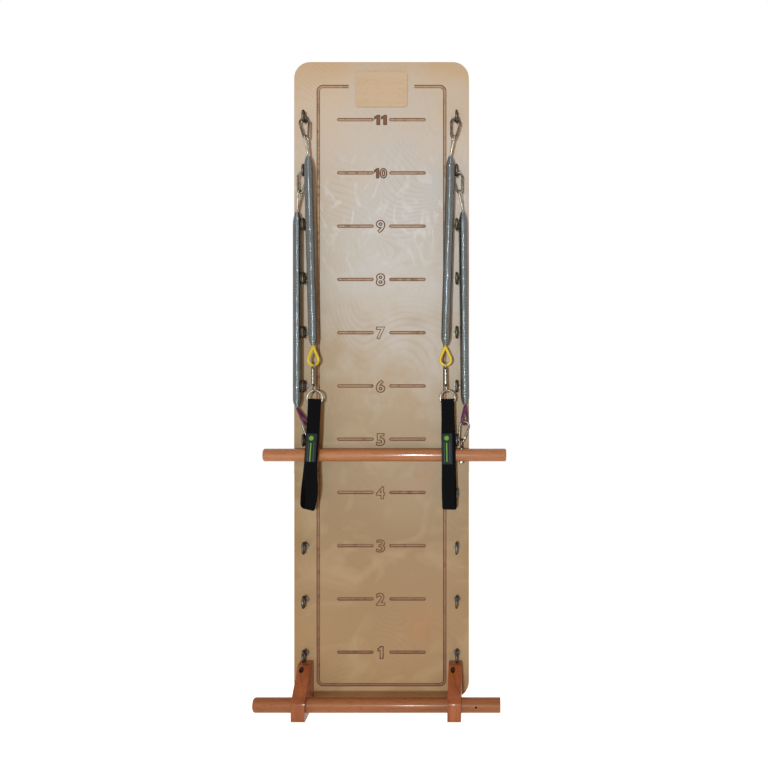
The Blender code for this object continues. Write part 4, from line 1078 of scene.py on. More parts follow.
def block_mesh(x):
    """One block with its bore for the bar and the pocket of its screw."""
    shape = [(BLOCK_NOSE[0], BLOCK_FOOT), (BLOCK_BACK, BLOCK_FOOT), (BLOCK_BACK, BLOCK_TOP),
             BLOCK_BROW, BLOCK_NOSE]
    mesh = plate(rounded(shape, BLOCK_CORNER, 8), BLOCK_THICKNESS,
                 Matrix.Translation((x, 0, 0)) @ FACE_SIDE, BLOCK_EDGE, 4)
    mesh.materials.append(shaded_beech_block)
    bore = turned(rod(FOOT_BAR / 2 + GAP, 0.03, -0.03), 56,
                  Matrix.Translation((x, FOOT_BAR_AT.y, FOOT_BAR_AT.z)) @ ALONG_X)
    slope = (Vector(BLOCK_NOSE) - Vector(BLOCK_BROW)).normalized()
    at = Vector(BLOCK_BROW) + slope * SCREW_ALONG
    pocket = turned(rod(SCREW_RADIUS, 0.020, -0.012), 32,
                    Matrix.Translation((x - SCREW_ASIDE, at.x, at.y)) @ FACE_FRONT)
    return bored(mesh, [bore, pocket])


for side, word in ((-1, "left"), (1, "right")):
    hung(f"block_{word}", block_mesh(side * BLOCK_X), None, "wall_unit",
         [f"bracket_{word}"], 40)

rail = moved(bar_mesh(FOOT_BAR, FOOT_LENGTH, 0.008, 0.0012), Matrix.Translation(FOOT_BAR_AT))
rail.materials.append(shaded_beech_rail)
hole = turned(rod(0.003, 0.025, 0.012), 24,
              Matrix.Translation((FOOT_HOLE_X, FOOT_BAR_AT.y, FOOT_BAR_AT.z)) @ FACE_FRONT)
hung("foot_rail", bored(rail, [hole]), None, "wall_unit", ["foot_bar"], 40)

# %% [markdown]
# ## Where the chains hang
#
# Each chain is a carabiner, a spring with a wire loop at both ends, and what it pulls. Its
# places follow from lengths: a link of known length hangs below the one before it, at a known
# distance to the side. The same sums as in the CAD source give them here, so every finer piece
# lies where its solid does. All turns are in degrees.

# %% Places along the chains
LINK_GAP = 0.0009
HOOK_LENGTH, HOOK_WIDTH, HOOK_NARROW, HOOK_WIRE = 0.064, 0.032, 0.020, 0.006
HOOK_SPAN = HOOK_LENGTH - HOOK_WIRE
HOOK_SEAT = 0.0066
LOOP_NECK = 0.003
TOP_SPAN, TOP_WIDTH, TOP_WIRE = 0.057, 0.027, 0.005
LOW_SPAN, LOW_WIDTH, LOW_WIRE = 0.052, 0.038, 0.007
HANDLE_SPRING = 0.532
SNAP_LENGTH, SNAP_WIRE, D_WIRE = 0.0776, 0.0045, 0.0045
STRAP_WIDTH, STRAP_DEPTH, D_SHIFT = 0.0364, 0.025, 0.0045
ROLL_BAR, ROLL_LENGTH, ROLL_SHIFT = 0.036, 0.685, 0.0135
BAR_EYE, BAR_EYE_WIRE, WASHER = 0.028, 0.006, 0.0016
TOP_RUN = HOOK_SEAT + HOOK_SPAN - (HOOK_WIRE + TOP_WIRE) / 2 - LINK_GAP + TOP_SPAN
print(f"the spring of a top chain begins {TOP_RUN * 1000:.1f} mm below its eye")

# %% How each chain hangs
HANDLE_NECK_Y, HANDLE_FOOT_Y, SNAP_TURN = -0.0865, -0.097, 15
HANDLES = {
    "left": {"side": -1, "neck_x": -0.200, "foot_x": -0.184, "ring_x": -0.182, "lean": 0.048,
             "strap_turn": 10, "top_turn": 75, "low_turn": 33},
    "right": {"side": 1, "neck_x": 0.200, "foot_x": 0.185, "ring_x": 0.187, "lean": -0.018,
              "strap_turn": -6, "top_turn": 105, "low_turn": 0},
}
BARS = {
    "left": {"side": -1, "neck_x": -0.2335, "foot_x": -0.2335, "link_x": -0.2062,
             "top_turn": 72, "low_turn": 80},
    "right": {"side": 1, "neck_x": 0.2335, "foot_x": 0.240, "link_x": 0.2393,
              "top_turn": 72, "low_turn": 60},
}


# %% Frames along a chain
def point_below(start, length, x, y):
    """The point at x and y that lies a given length from start, below it."""
    across = (x - start.x) ** 2 + (y - start.y) ** 2
    return Vector((x, y, start.z - math.sqrt(length ** 2 - across)))


def chain_frame(origin, down):
    """A frame at origin whose -Z runs down a chain and whose X stays along the board."""
    up = -Vector(down).normalized()
    side = Vector((1, 0, 0))
    side = (side - up * side.dot(up)).normalized()
    return Matrix.Translation(origin) @ Matrix((side, up.cross(side), up)).transposed().to_4x4()


def spin(degrees):
    """A turn about a frame's own Z."""
    return Matrix.Rotation(math.radians(degrees), 4, "Z")


# %% Handle chains and bar chains
def handle_places(word):
    """Every frame of one handle chain."""
    shape = HANDLES[word]
    eye = Vector((shape["side"] * EYE_SPACING / 2, EYE_Y, level_height(11)))
    neck = point_below(eye, TOP_RUN, shape["neck_x"], HANDLE_NECK_Y)
    hook_down = (neck - eye).normalized()
    foot = point_below(neck, HANDLE_SPRING + 2 * LOOP_NECK, shape["foot_x"], HANDLE_FOOT_Y)
    down = (foot - neck).normalized()
    strap_turn, low_turn = shape["strap_turn"], shape["low_turn"]
    turn = math.radians(strap_turn)
    ring_y = (EYE_Y - ROLL_BAR / 2 - GAP - abs(math.cos(turn)) * STRAP_DEPTH / 2
              - abs(math.sin(turn)) * STRAP_WIDTH / 2 - D_SHIFT * math.sin(turn))
    reach = SNAP_LENGTH + LOW_SPAN - (LOW_WIRE + SNAP_WIRE) / 2 - LINK_GAP
    ring = point_below(foot, reach, shape["ring_x"], ring_y)
    pull = (ring - foot).normalized()
    snap_turn = SNAP_TURN + strap_turn
    return {
        "hook": (chain_frame(eye, hook_down), -HOOK_SEAT, shape["side"]),
        "spring": (chain_frame(neck + down * LOOP_NECK, down), HANDLE_SPRING),
        "top_loop": (-hook_down, shape["top_turn"]),
        "low_end": chain_frame(foot - down * LOOP_NECK, down),
        "low_loop": (pull, low_turn),
        "snap": (chain_frame(ring, pull) @ spin(snap_turn), low_turn - snap_turn),
        "grip": chain_frame(ring, Vector((-shape["lean"], 0, -1))) @ spin(strap_turn),
    }


def bar_places(word):
    """Every frame of one roll-down bar chain."""
    shape = BARS[word]
    eye = Vector((shape["side"] * EYE_SPACING / 2, EYE_Y, level_height(10)))
    neck = point_below(eye, TOP_RUN, shape["neck_x"], EYE_Y)
    hook_down = (neck - eye).normalized()
    bar_eye = Vector((BAR_EYES[word], EYE_Y, BAR_EYE_TOP))
    low_link = (LOW_WIRE + HOOK_WIRE) / 2 + LINK_GAP
    bar_hook = HOOK_SPAN - low_link - (BAR_EYE_WIRE + HOOK_WIRE) / 2 - LINK_GAP
    foot_x, link_x = shape["foot_x"], shape["link_x"]
    link = Vector((link_x, EYE_Y, bar_eye.z + math.sqrt(bar_hook ** 2 - (bar_eye.x - link_x) ** 2)))
    foot = Vector((foot_x, EYE_Y, link.z + math.sqrt(LOW_SPAN ** 2 - (foot_x - link_x) ** 2)))
    down = (foot - neck).normalized()
    last = (bar_eye - link).normalized()
    return {
        "hook": (chain_frame(eye, hook_down), -HOOK_SEAT, shape["side"]),
        "spring": (chain_frame(neck + down * LOOP_NECK, down), (foot - neck).length - 2 * LOOP_NECK),
        "top_loop": (-hook_down, shape["top_turn"]),
        "low_end": chain_frame(foot - down * LOOP_NECK, down),
        "low_loop": ((link - foot).normalized(), shape["low_turn"]),
        "low_hook": (chain_frame(link - last * low_link, last), 0.0, 1),
    }


BAR_EYE_X, BAR_EYE_ASIDE, ROLL_BAR_DROP = 0.213, 0.003, 0.0416
ROLL_BAR_HEIGHT = level_height(5) - ROLL_BAR_DROP
BAR_EYE_RISE = ROLL_BAR / 2 + GAP + WASHER + BAR_EYE / 2 - 0.001
BAR_EYE_TOP = ROLL_BAR_HEIGHT + BAR_EYE_RISE + (BAR_EYE - BAR_EYE_WIRE) / 2
BAR_EYES = {"left": ROLL_SHIFT + BAR_EYE_ASIDE - BAR_EYE_X,
            "right": ROLL_SHIFT + BAR_EYE_ASIDE + BAR_EYE_X}
places = {f"handle_{word}": handle_places(word) for word in HANDLES}
places.update({f"bar_{word}": bar_places(word) for word in BARS})
HANDLE_CHAINS = ("handle_left", "handle_right")
for chain, spots in places.items():
    print(chain, "spring", round(spots["spring"][1], 4))

# %% [markdown]
# ## Carabiners
#
# A carabiner here is one bent wire, wide above and narrow below, with a sprung gate across its
# open side. The gate turns on a rivet at the narrow end, and its tip is forked. Both are swept
# wires; the fork and the rivet are what tell a carabiner from a link.

# %% Carabiner body and gate
BEND_WIDE, BEND_NARROW = (HOOK_WIDTH - HOOK_WIRE) / 2, (HOOK_NARROW - HOOK_WIRE) / 2
HOOK_FOOT, KNUCKLE, GATE_SHORT = 0.004, 0.0032, 0.0036


def hook_side():
    """The slant of the open side in degrees, and where it meets the upper and lower bend."""
    slant = math.asin((BEND_WIDE - BEND_NARROW) / (HOOK_SPAN - BEND_WIDE - BEND_NARROW))
    normal = Vector((math.cos(slant), -math.sin(slant)))
    upper = Vector((0, -BEND_WIDE)) + BEND_WIDE * normal
    lower = Vector((0, BEND_NARROW - HOOK_SPAN)) + BEND_NARROW * normal
    return math.degrees(slant), upper, lower


def hook_mesh():
    """The bent wire, eased at both ends; the top wire's middle is at the origin."""
    slant, upper, lower = hook_side()
    along = (upper - lower).normalized()
    points = [upper - along * step for step in (0.003, 0.0026, 0.0015)]
    points += [Vector(p) for p in arc((0, -BEND_WIDE), BEND_WIDE, -slant, 180 + slant, 30)]
    points += [Vector(p) for p in arc((0, BEND_NARROW - HOOK_SPAN), BEND_NARROW, 180 + slant,
                                      360 - slant, 20)]
    points += [lower + along * step for step in (0.0028, 0.0036, HOOK_FOOT)]
    shares = [0.62, 0.86, 1.0] + [1.0] * (len(points) - 6) + [1.0, 0.86, 0.62]
    return wire([(p.x, 0, p.y) for p in points], HOOK_WIRE / 2, False, 16, shares)


def gate_parts():
    """The gate at rest in the carabiner's own frame: a forked rod, a knuckle and its rivet."""
    upper, lower = hook_side()[1:]
    along = (upper - lower).normalized()
    hinge, tip = lower + along * (HOOK_FOOT + GAP + KNUCKLE), upper - along * GATE_SHORT
    run = (tip - hinge).length
    steps = (0.0, 0.002, 0.25 * run, 0.75 * run, run - 0.0022, run - 0.0008, run)
    shares = (0.9, 0.95, 0.95, 1.0, 1.0, 0.86, 0.62)
    line = [hinge + along * step for step in steps]
    gate = wire([(p.x, 0, p.y) for p in line], HOOK_WIRE / 2, False, 16, shares)
    at = Matrix.Translation((hinge.x, 0, hinge.y)) @ FACE_FRONT
    knuckle = turned([(0, 0.004), (0.0026, 0.004), (KNUCKLE, 0.0034), (KNUCKLE, -0.0034),
                      (0.0026, -0.004), (0, -0.004)], 28, at)
    rivet = turned([(0, 0.0047), (0.0010, 0.0046), (0.0017, 0.0040), (0.0017, -0.0040),
                    (0.0010, -0.0046), (0, -0.0047)], 20, at)
    lean = Matrix.Rotation(math.atan2(along.x, along.y), 4, "Y")
    frame_up = Matrix.Translation((tip.x, 0, tip.y)) @ lean
    fork = plate(box_corners(0.0016, 0.0070, (0, -0.0018)), 0.010, frame_up @ FACE_FRONT)
    gate = combined(gate, [knuckle, rivet], "UNION")
    return combined(gate, [fork], "DIFFERENCE")


hook_master, gate_master = hook_mesh(), gate_parts()
print("carabiner:", len(hook_master.polygons), "+", len(gate_master.polygons), "faces")


def hang_carabiner(name, seat, body):
    """A carabiner body and its gate, each on its own body."""
    frame_at, top, side = seat
    place = frame_at @ Matrix.Translation((0, 0, top)) @ (Matrix() if side > 0 else spin(180))
    hung(f"{name}_hook", moved(hook_master.copy(), place), zinc, body,
         [f"{name}_body"], 40)
    hung(f"{name}_latch", moved(gate_master.copy(), place), zinc, f"{name}_gate",
         [f"{name}_gate"], 40)


for chain, spots in places.items():
    hang_carabiner(f"{chain}_carabiner", spots["hook"], f"{chain}_hanger")
    if "low_hook" in spots:
        hang_carabiner(f"{chain}_lower_carabiner", spots["low_hook"], f"{chain}_pull")

# %% [markdown]
# ## Wire loops
#
# A teardrop loop hangs in each end of a spring. Its neck is a stem with a head, which the
# coned end of the spring holds in. The loop leans toward the next link and is turned a little
# out of the board's plane, as the real ones are. The lower ones are dipped, which adds to their
# wire: yellow for the light springs with the straps, purple for the heavier ones with the bar.

# %% A teardrop loop
LOOP_STEM, HEAD_TOP, HEAD_FOOT = 0.0024, -0.0085, -0.0110
TOP_HEAD, LOW_HEAD, DIP = 0.0060, 0.0065, 0.0009
UPSIDE_DOWN = Matrix.Rotation(math.pi, 4, "X")


def loop_mesh(end, toward, turn, span, width, wire_size, head):
    """A teardrop wire and its headed stem; the end's +Z points out of the spring."""
    flat = end.to_3x3().transposed()
    lean = (flat @ Vector(toward)).normalized()
    across = flat @ Vector((math.cos(math.radians(turn)), math.sin(math.radians(turn)), 0))
    across = (across - lean * across.dot(lean)).normalized()
    radius = (width - wire_size) / 2
    open_angle = math.degrees(math.asin(radius / (span - radius)))
    bend = arc((0.0, span - radius), radius, -open_angle, 180 + open_angle, 36)
    first, last = Vector(bend[0]), Vector(bend[-1])
    path = [(0.0, 0.0)] + [tuple(first * share) for share in (0.12, 0.4, 0.7)] + bend
    path += [tuple(last * share) for share in (0.7, 0.4, 0.12)]
    neck = Vector((0, 0, LOOP_NECK))
    line = [neck + across * a + lean * b for a, b in path]
    loop = wire(line, wire_size / 2, True, 16)
    profile = [(0, LOOP_NECK + LOOP_STEM), (LOOP_STEM * 0.8, LOOP_NECK + LOOP_STEM * 0.7),
               (LOOP_STEM, LOOP_NECK), (LOOP_STEM, head + HEAD_TOP - LOOP_STEM), (head, HEAD_TOP),
               (head, HEAD_FOOT), (0, HEAD_FOOT)]
    return moved(combined(loop, [turned(profile, 24)], "UNION", True), end)


# %% Hang the loops
for chain, spots in places.items():
    kind = chain.split("_")[0]
    top = loop_mesh(spots["spring"][0], *spots["top_loop"], TOP_SPAN, TOP_WIDTH, TOP_WIRE, TOP_HEAD)
    carrier = f"{chain}_coil" if kind == "handle" else f"{chain}_hanger"
    hung(f"{chain}_upper_link", top, bright_nickel, carrier, [f"{chain}_top_loop"], 40)
    low = loop_mesh(spots["low_end"] @ UPSIDE_DOWN, *spots["low_loop"], LOW_SPAN, LOW_WIDTH,
                    LOW_WIRE + DIP, LOW_HEAD)
    colour = "yellow" if kind == "handle" else "purple"
    hung(f"{chain}_lower_link", low, yellow if kind == "handle" else purple, f"{chain}_pull",
         [f"{chain}_{colour}_loop"], 40)

# %% [markdown]
# ## Springs
#
# A spring of this kind is wound so close that its turns touch, about two hundred of them, and
# both ends are coned to hold the loops. Its shape is a rule: an angle that grows with the
# length, a constant pitch, and a radius that shrinks in the cones. Geometry Nodes states that
# rule on the points of one curve. Each spring is wound once, at its length, and set in place
# between its two ends; it rides on no body.


# %% The spring as a tree
def spring_tree():
    """One wire wound round an axis from the origin down, with coned ends."""
    tree, start, end = start_tree("close_wound_spring",
                                  [("Length", "Float"), ("Diameter", "Float"), ("Wire", "Float"),
                                   ("Turns", "Float"), ("Turn points", "Int"),
                                   ("Top cone", "Float"), ("Lower cone", "Float"),
                                   ("Neck share", "Float"), ("Finish", "Material")])
    size = start.outputs
    line = tree.nodes.new("GeometryNodeCurvePrimitiveLine")
    count = times(tree, size["Turns"], size["Turn points"])
    fine = lay(tree, "GeometryNodeResampleCurve", {"Curve": line.outputs[0], "Count": count})
    share = tree.nodes.new("GeometryNodeSplineParameter").outputs["Factor"]
    angle = times(tree, times(tree, share, size["Turns"]), math.tau)
    depth = times(tree, share, size["Length"])
    left = maths(tree, "SUBTRACT", size["Length"], depth)
    near = maths(tree, "MINIMUM", maths(tree, "DIVIDE", depth, size["Top cone"]),
                 maths(tree, "DIVIDE", left, size["Lower cone"]))
    ease = maths(tree, "SINE", times(tree, maths(tree, "MINIMUM", near, 1.0), math.pi / 2))
    rest = maths(tree, "SUBTRACT", 1.0, size["Neck share"])
    wide = plus(tree, size["Neck share"], times(tree, ease, rest))
    full = maths(tree, "DIVIDE", maths(tree, "SUBTRACT", size["Diameter"], size["Wire"]), 2.0)
    radius = times(tree, wide, full)
    inner = maths(tree, "SUBTRACT", size["Length"], size["Wire"])
    height = maths(tree, "SUBTRACT", times(tree, share, times(tree, inner, -1.0)),
                   maths(tree, "DIVIDE", size["Wire"], 2.0))
    point = lay(tree, "ShaderNodeCombineXYZ",
                {0: times(tree, radius, maths(tree, "COSINE", angle)),
                 1: times(tree, radius, maths(tree, "SINE", angle)), 2: height})
    wound = lay(tree, "GeometryNodeSetPosition",
                {"Geometry": fine.outputs[0], "Position": point.outputs[0]})
    section = lay(tree, "GeometryNodeCurvePrimitiveCircle",
                  {"Resolution": 8, "Radius": maths(tree, "DIVIDE", size["Wire"], 2.0)})
    solid = lay(tree, "GeometryNodeCurveToMesh",
                {"Curve": wound.outputs[0], "Profile Curve": section.outputs[0],
                 "Fill Caps": True})
    end_tree(tree, start, end, solid.outputs[0])
    return tree


# %% Wind the four springs
def mark_crest(coil):
    """How far each point of the wire looks outward from the axis; 1 at the outside of a turn."""
    looks = [vert.normal.xy.dot(vert.co.xy.normalized()) for vert in coil.vertices]
    most = max(looks)
    crest = coil.attributes.new("crest", "FLOAT", "POINT")
    crest.data.foreach_set("value", [look / most for look in looks])


SPRING_WIRE, SPRING_DIAMETER = 0.00268, 0.0256
WINDING = {"Turn points": 16, "Top cone": 0.036, "Lower cone": 0.024, "Neck share": 0.45}
wound_tree = spring_tree()
for chain, spots in places.items():
    top_frame, length = spots["spring"]
    turns = length / SPRING_WIRE
    coil = grown(wound_tree, Length=length, Diameter=SPRING_DIAMETER, Wire=SPRING_WIRE * 0.985,
                 Turns=turns, Finish=spring_steel, **WINDING)
    # The crest measure places the springs' painted highlight.
    mark_crest(coil)
    piece = hung(f"{chain}_wound_spring", moved(coil, top_frame), None, None,
                 [f"{chain}_spring"], 60)
    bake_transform(piece)
    print(f"{chain}: {turns:.0f} turns over {length * 1000:.0f} mm")

# %% [markdown]
# ## Roll-down bar
#
# The roll-down bar hangs from two small eye bolts that go right through it, each with a washer
# above and a nut below. Wood and metal are two pieces here, so that each keeps its own finish,
# and both ride on the bar's body.

# %% Bar and its eyes
roll_place = Matrix.Translation((ROLL_SHIFT, EYE_Y, ROLL_BAR_HEIGHT))
hung("roll_bar_wood", moved(bar_mesh(ROLL_BAR, ROLL_LENGTH, 0.005, 0.005), roll_place), beech_bar,
     "roll_down_bar", ["roll_down_bar"], 40)


def bar_eye_mesh():
    """A small eye bolt through the bar: ring, shank, washer and nut, ring centre at origin."""
    radius = (BAR_EYE - BAR_EYE_WIRE) / 2
    foot = -BAR_EYE_RISE - ROLL_BAR / 2
    ring = wire([(0, y, z) for y, z in arc((0, 0), radius, 0, 360, 36)[:-1]], BAR_EYE_WIRE / 2,
                True, 16)
    shank = turned([(0, -radius), (0.0042, -radius - 0.001), (0.0036, -radius - 0.0045),
                    (0.0034, -radius - 0.0060), (0.0034, foot - 0.0078), (0, foot - 0.0080)], 24)
    top = -BAR_EYE_RISE + ROLL_BAR / 2 + WASHER
    washer = turned([(0, top), (0.0067, top), (0.0070, top - 0.0003), (0.0070, top - 0.0046),
                     (0, top - 0.0046)], 32)
    nut = moved(hex_nut(0.012, 0.007), Matrix.Translation((0, 0, foot + 0.002)))
    return combined(ring, [shank, washer, nut], "UNION")


for word, across in BAR_EYES.items():
    place = Matrix.Translation((across, EYE_Y, ROLL_BAR_HEIGHT + BAR_EYE_RISE))
    hung(f"bar_{word}_eye", moved(bar_eye_mesh(), place), zinc, "roll_down_bar",
         (), 40)

# %% [markdown]
# ## Bolt snaps
#
# A bolt snap is cast in one piece: a swivel eye, a barrel with a slot in it, and a hook. A
# sprung bolt slides in the barrel and a knob through the slot pulls it back. Castings have no
# sharp inner corners, so the parts are first merged in small cubes and smoothed, which leaves
# soft fillets, and only then are the bore and slot cut.


# %% Casting
def cast(mesh, cube, passes):
    """Merge overlapping parts into one skin and soften it, as a casting is."""
    item = scratch(mesh)
    merge = item.modifiers.new("merge", "REMESH")
    merge.mode = "VOXEL"
    merge.voxel_size = cube
    soften = item.modifiers.new("soften", "SMOOTH")
    soften.factor = 0.5
    soften.iterations = passes
    return settled(item)


def joined(meshes):
    """Several meshes as one, not yet merged."""
    work = bmesh.new()
    for mesh in meshes:
        work.from_mesh(mesh)
    together = bpy.data.meshes.new("joined")
    work.to_mesh(together)
    work.free()
    return together


# %% Sizes of the snap
BOLT_OFFSET, BARREL, BARREL_FOOT, KNOB_HEIGHT, KNOB = 0.0058, 0.0100, 0.014, 0.040, 0.0065
SNAP_EYE, SNAP_BOLT, SNAP_TRAVEL = 0.020, 0.0036, 0.009
SNAP_SEAT = -(SNAP_WIRE + D_WIRE) / 2 - 0.0010
SNAP_EYE_MID = (SNAP_EYE - SNAP_WIRE) / 2
SNAP_EYE_HEIGHT = SNAP_LENGTH - SNAP_EYE_MID
BARREL_TOP = SNAP_EYE_HEIGHT - SNAP_EYE_MID
BORE_TOP = BARREL_TOP - 0.006


# %% Cast body
def curve_through(points, steps):
    """A smooth line through points, for a cast arm."""
    line = []
    for n in range(len(points) - 1):
        before = points[max(n - 1, 0)]
        after = points[min(n + 2, len(points) - 1)]
        a, b, c, d = (Vector(p) for p in (before, points[n], points[n + 1], after))
        for m in range(steps):
            t = m / steps
            line.append(tuple(0.5 * (2 * b + (c - a) * t + (2 * a - 5 * b + 4 * c - d) * t * t
                                     + (3 * b - a - 3 * c + d) * t ** 3)))
    return line + [tuple(points[-1])]


def snap_body(eye_turn):
    """The cast body, with the D-ring's wire at the origin."""
    bolt, reach = BOLT_OFFSET, BARREL / 2 + SNAP_WIRE
    tip = SNAP_SEAT + 0.0060
    arm = [(bolt - 0.001, BARREL_FOOT + 0.006), (bolt - 0.005, BARREL_FOOT + 0.002),
           (-reach, 0.011), (-reach - 0.0008, 0.003), (-0.006, SNAP_SEAT + 0.0018),
           (0.0005, SNAP_SEAT), (bolt - 0.0008, SNAP_SEAT + 0.0022), (bolt, tip)]
    hook = wire(curve_through([(0, y, z) for y, z in arm], 5), SNAP_WIRE / 2, False, 16)
    radius = BARREL / 2
    at_bolt = Matrix.Translation((0, bolt, 0))
    barrel = turned([(0, BARREL_TOP), (radius * 0.7, BARREL_TOP), (radius, BARREL_TOP - 0.003),
                     (radius, BARREL_FOOT), (radius * 0.86, BARREL_FOOT - 0.0008),
                     (0, BARREL_FOOT - 0.0008)], 32, at_bolt)
    collar = turned([(0, BARREL_TOP + 0.003), (radius * 0.8, BARREL_TOP + 0.0025),
                     (radius * 1.15, BARREL_TOP), (radius * 0.9, BARREL_TOP - 0.002),
                     (0, BARREL_TOP - 0.002)], 32, Matrix.Translation((0, bolt / 2, 0)))
    eye = wire([(0, y, z) for y, z in arc((0, 0), SNAP_EYE_MID, 0, 360, 32)[:-1]],
               SNAP_WIRE / 2, True, 16)
    eye = moved(eye, Matrix.Translation((0, 0, SNAP_EYE_HEIGHT)) @ spin(eye_turn))
    body = cast(joined([hook, barrel, collar, eye]), 0.0004, 3)
    bore = turned(rod(SNAP_BOLT / 2 + GAP, BORE_TOP, tip + 0.002), 24, at_bolt)
    stem = SNAP_BOLT * 0.35
    low, high = KNOB_HEIGHT - stem - GAP, KNOB_HEIGHT + stem + SNAP_TRAVEL + GAP
    outline = box_corners(0.010, high - low, (bolt + 0.005, (high + low) / 2))
    slot = plate(rounded(outline, 0.0012, 5), 2 * (stem + GAP), FACE_SIDE)
    return combined(combined(body, [bore], "DIFFERENCE"), [slot], "DIFFERENCE")


# %% Sliding bolt
def snap_trigger():
    """The sliding bolt with its thumb knob."""
    low = SNAP_SEAT + 0.0069
    high = BORE_TOP - SNAP_TRAVEL - GAP
    radius = SNAP_BOLT / 2
    at_bolt = Matrix.Translation((0, BOLT_OFFSET, 0))
    bolt = turned([(0, high), (radius, high), (radius, low + 0.001), (radius * 0.6, low), (0, low)],
                  24, at_bolt)
    out = BARREL / 2 + KNOB / 2 + GAP
    pin = wire([(0, BOLT_OFFSET, KNOB_HEIGHT), (0, BOLT_OFFSET + out, KNOB_HEIGHT)], radius * 0.7)
    ball = KNOB / 2
    angles = [math.radians(a) for a in range(15, 180, 15)]
    side = [(ball * math.sin(a), ball * math.cos(a)) for a in angles]
    button = turned([(0, ball)] + side + [(0, -ball)], 24,
                    Matrix.Translation((0, BOLT_OFFSET + out, KNOB_HEIGHT)))
    return combined(bolt, [pin, button], "UNION")


for chain in HANDLE_CHAINS:
    place, eye_turn = places[chain]["snap"]
    hung(f"{chain}_cast_snap", moved(snap_body(eye_turn), place), cast_nickel, f"{chain}_pull",
         [f"{chain}_snap_body"], 50)
    hung(f"{chain}_thumb_bolt", moved(snap_trigger(), place), zinc, f"{chain}_snap_trigger",
         [f"{chain}_snap_trigger"], 40)

# %% [markdown]
# ## D-rings
#
# A D-ring is a bent wire, round above and straight below, where the strap goes round it. It
# hangs by its top wire in the snap's hook.

# %% D-rings
D_WIDTH, D_HEIGHT, D_CORNER = 0.046, 0.0343, 0.003
D_RADIUS = (D_WIDTH - D_WIRE) / 2
D_DROP = D_HEIGHT - D_WIRE
D_LIFT = D_RADIUS - math.sqrt(D_RADIUS ** 2 - D_SHIFT ** 2)


def d_ring():
    """The ring, its top wire's middle above the origin and its flat side below."""
    line = arc((0, -D_RADIUS), D_RADIUS, 0, 180, 36)
    line += arc((D_CORNER - D_RADIUS, D_CORNER - D_DROP), D_CORNER, 180, 270, 8)
    line += arc((D_RADIUS - D_CORNER, D_CORNER - D_DROP), D_CORNER, 270, 360, 8)
    return wire([(x, 0, z) for x, z in line], D_WIRE / 2 + GAP, True, 16)


grips = {chain: places[chain]["grip"] @ Matrix.Translation((D_SHIFT, 0, D_LIFT))
         for chain in HANDLE_CHAINS}
for chain, grip in grips.items():
    hung(f"{chain}_wire_d", moved(d_ring(), grip), cast_nickel, f"{chain}_grip",
         [f"{chain}_d_ring"], 40)

# %% [markdown]
# ## Webbing
#
# The hand loops are black nylon webbing: a flat band woven in fine ribs with a firm edge. The
# weave has to follow the band round its bends, so the band carries a map of its own, in metres
# along and across, and the finish draws its ribs on that.


# %% Webbing finishes
def make_webbing(name, colour, light, rib, row):
    """Woven band: ribs along it, rows across it, both from the band's own map; its tops painted
    lighter and its hollows darker, as light and shade.
    """
    look, tree, shader = start_finish(name, Roughness=0.85, Specular_IOR_Level=0.08)
    flat = axes(tree, "UV")
    column = maths(tree, "SINE", times(tree, flat["Y"], math.tau / rib))
    lean = times(tree, maths(tree, "SIGN", column), 0.9)
    rows = maths(tree, "SINE", plus(tree, times(tree, flat["X"], math.tau / row), lean))
    ribs = maths(tree, "ABSOLUTE", column)
    height = times(tree, ribs, ranged(tree, rows, -1, 1, 0.55, 1.0))
    relief(tree, shader, height, 0.0003)
    fuzz = noise(tree, (900, 900, 900), 2.0)
    # Painted light and shade: the tops of the weave lighter, its hollows darker.
    rib_light_and_shade = times(tree, height, ranged(tree, fuzz, 0.3, 0.7, 0.4, 1.0))
    tree.links.new(mixed(tree, rib_light_and_shade, colour, light), shader.inputs["Base Color"])
    return look


webbing = make_webbing("black_webbing_weave", tone(2, 2, 3), tone(9, 9, 10), 0.0026, 0.0022)
thread = make_webbing("stitch_thread", tone(8, 8, 9), tone(26, 26, 28), 0.0008, 0.0006)


def make_label():
    """A plain woven patch: charcoal with a grey border, a green dot and a green line."""
    look, tree, shader = start_finish("plain_label", Roughness=0.8, Specular_IOR_Level=0.15)
    flat = axes(tree, "UV")
    along, across = flat["X"], flat["Y"]
    weave = times(tree, maths(tree, "SINE", times(tree, along, 5200)),
                  maths(tree, "SINE", times(tree, across, 5200)))
    relief(tree, shader, weave, 0.00008)
    place = tree.nodes.new("ShaderNodeTexCoord").outputs["UV"]
    off = lay(tree, "ShaderNodeVectorMath", {0: place, 1: (0.0125, -0.001, 0.0)},
              operation="DISTANCE").outputs["Value"]
    dot = ranged(tree, off, 0.0068, 0.0060)
    line = times(tree, maths(tree, "COMPARE", across, -0.001, 0.0016),
                 maths(tree, "COMPARE", along, 0.052, 0.026))
    sides = maths(tree, "COMPARE", maths(tree, "ABSOLUTE", across), 0.0075, 0.0009)
    stripes = times(tree, sides, maths(tree, "COMPARE", along, 0.052, 0.028))
    colour = mixed(tree, times(tree, stripes, 0.8), tone(42, 46, 47), tone(84, 90, 88))
    colour = mixed(tree, maths(tree, "MAXIMUM", dot, line), colour, tone(112, 168, 58))
    colour = mixed(tree, ranged(tree, weave, -1, 1, 0.0, 0.3), colour, tone(14, 16, 16))
    tree.links.new(colour, shader.inputs["Base Color"])
    return look


label_look = make_label()

# %% [markdown]
# ## Hand straps
#
# One length of webbing goes round the D-ring's bar, is sewn to itself just below it, and hangs
# as an open loop. Seen from the side it is one closed line, so the band is swept along that
# line with a thin rounded section. Sweeping keeps the map straight, which a cloth simulation
# on a remeshed band would lose. Below the bar the loop is free, so its points are then turned,
# bellied and let down askew, as the real loops hang.

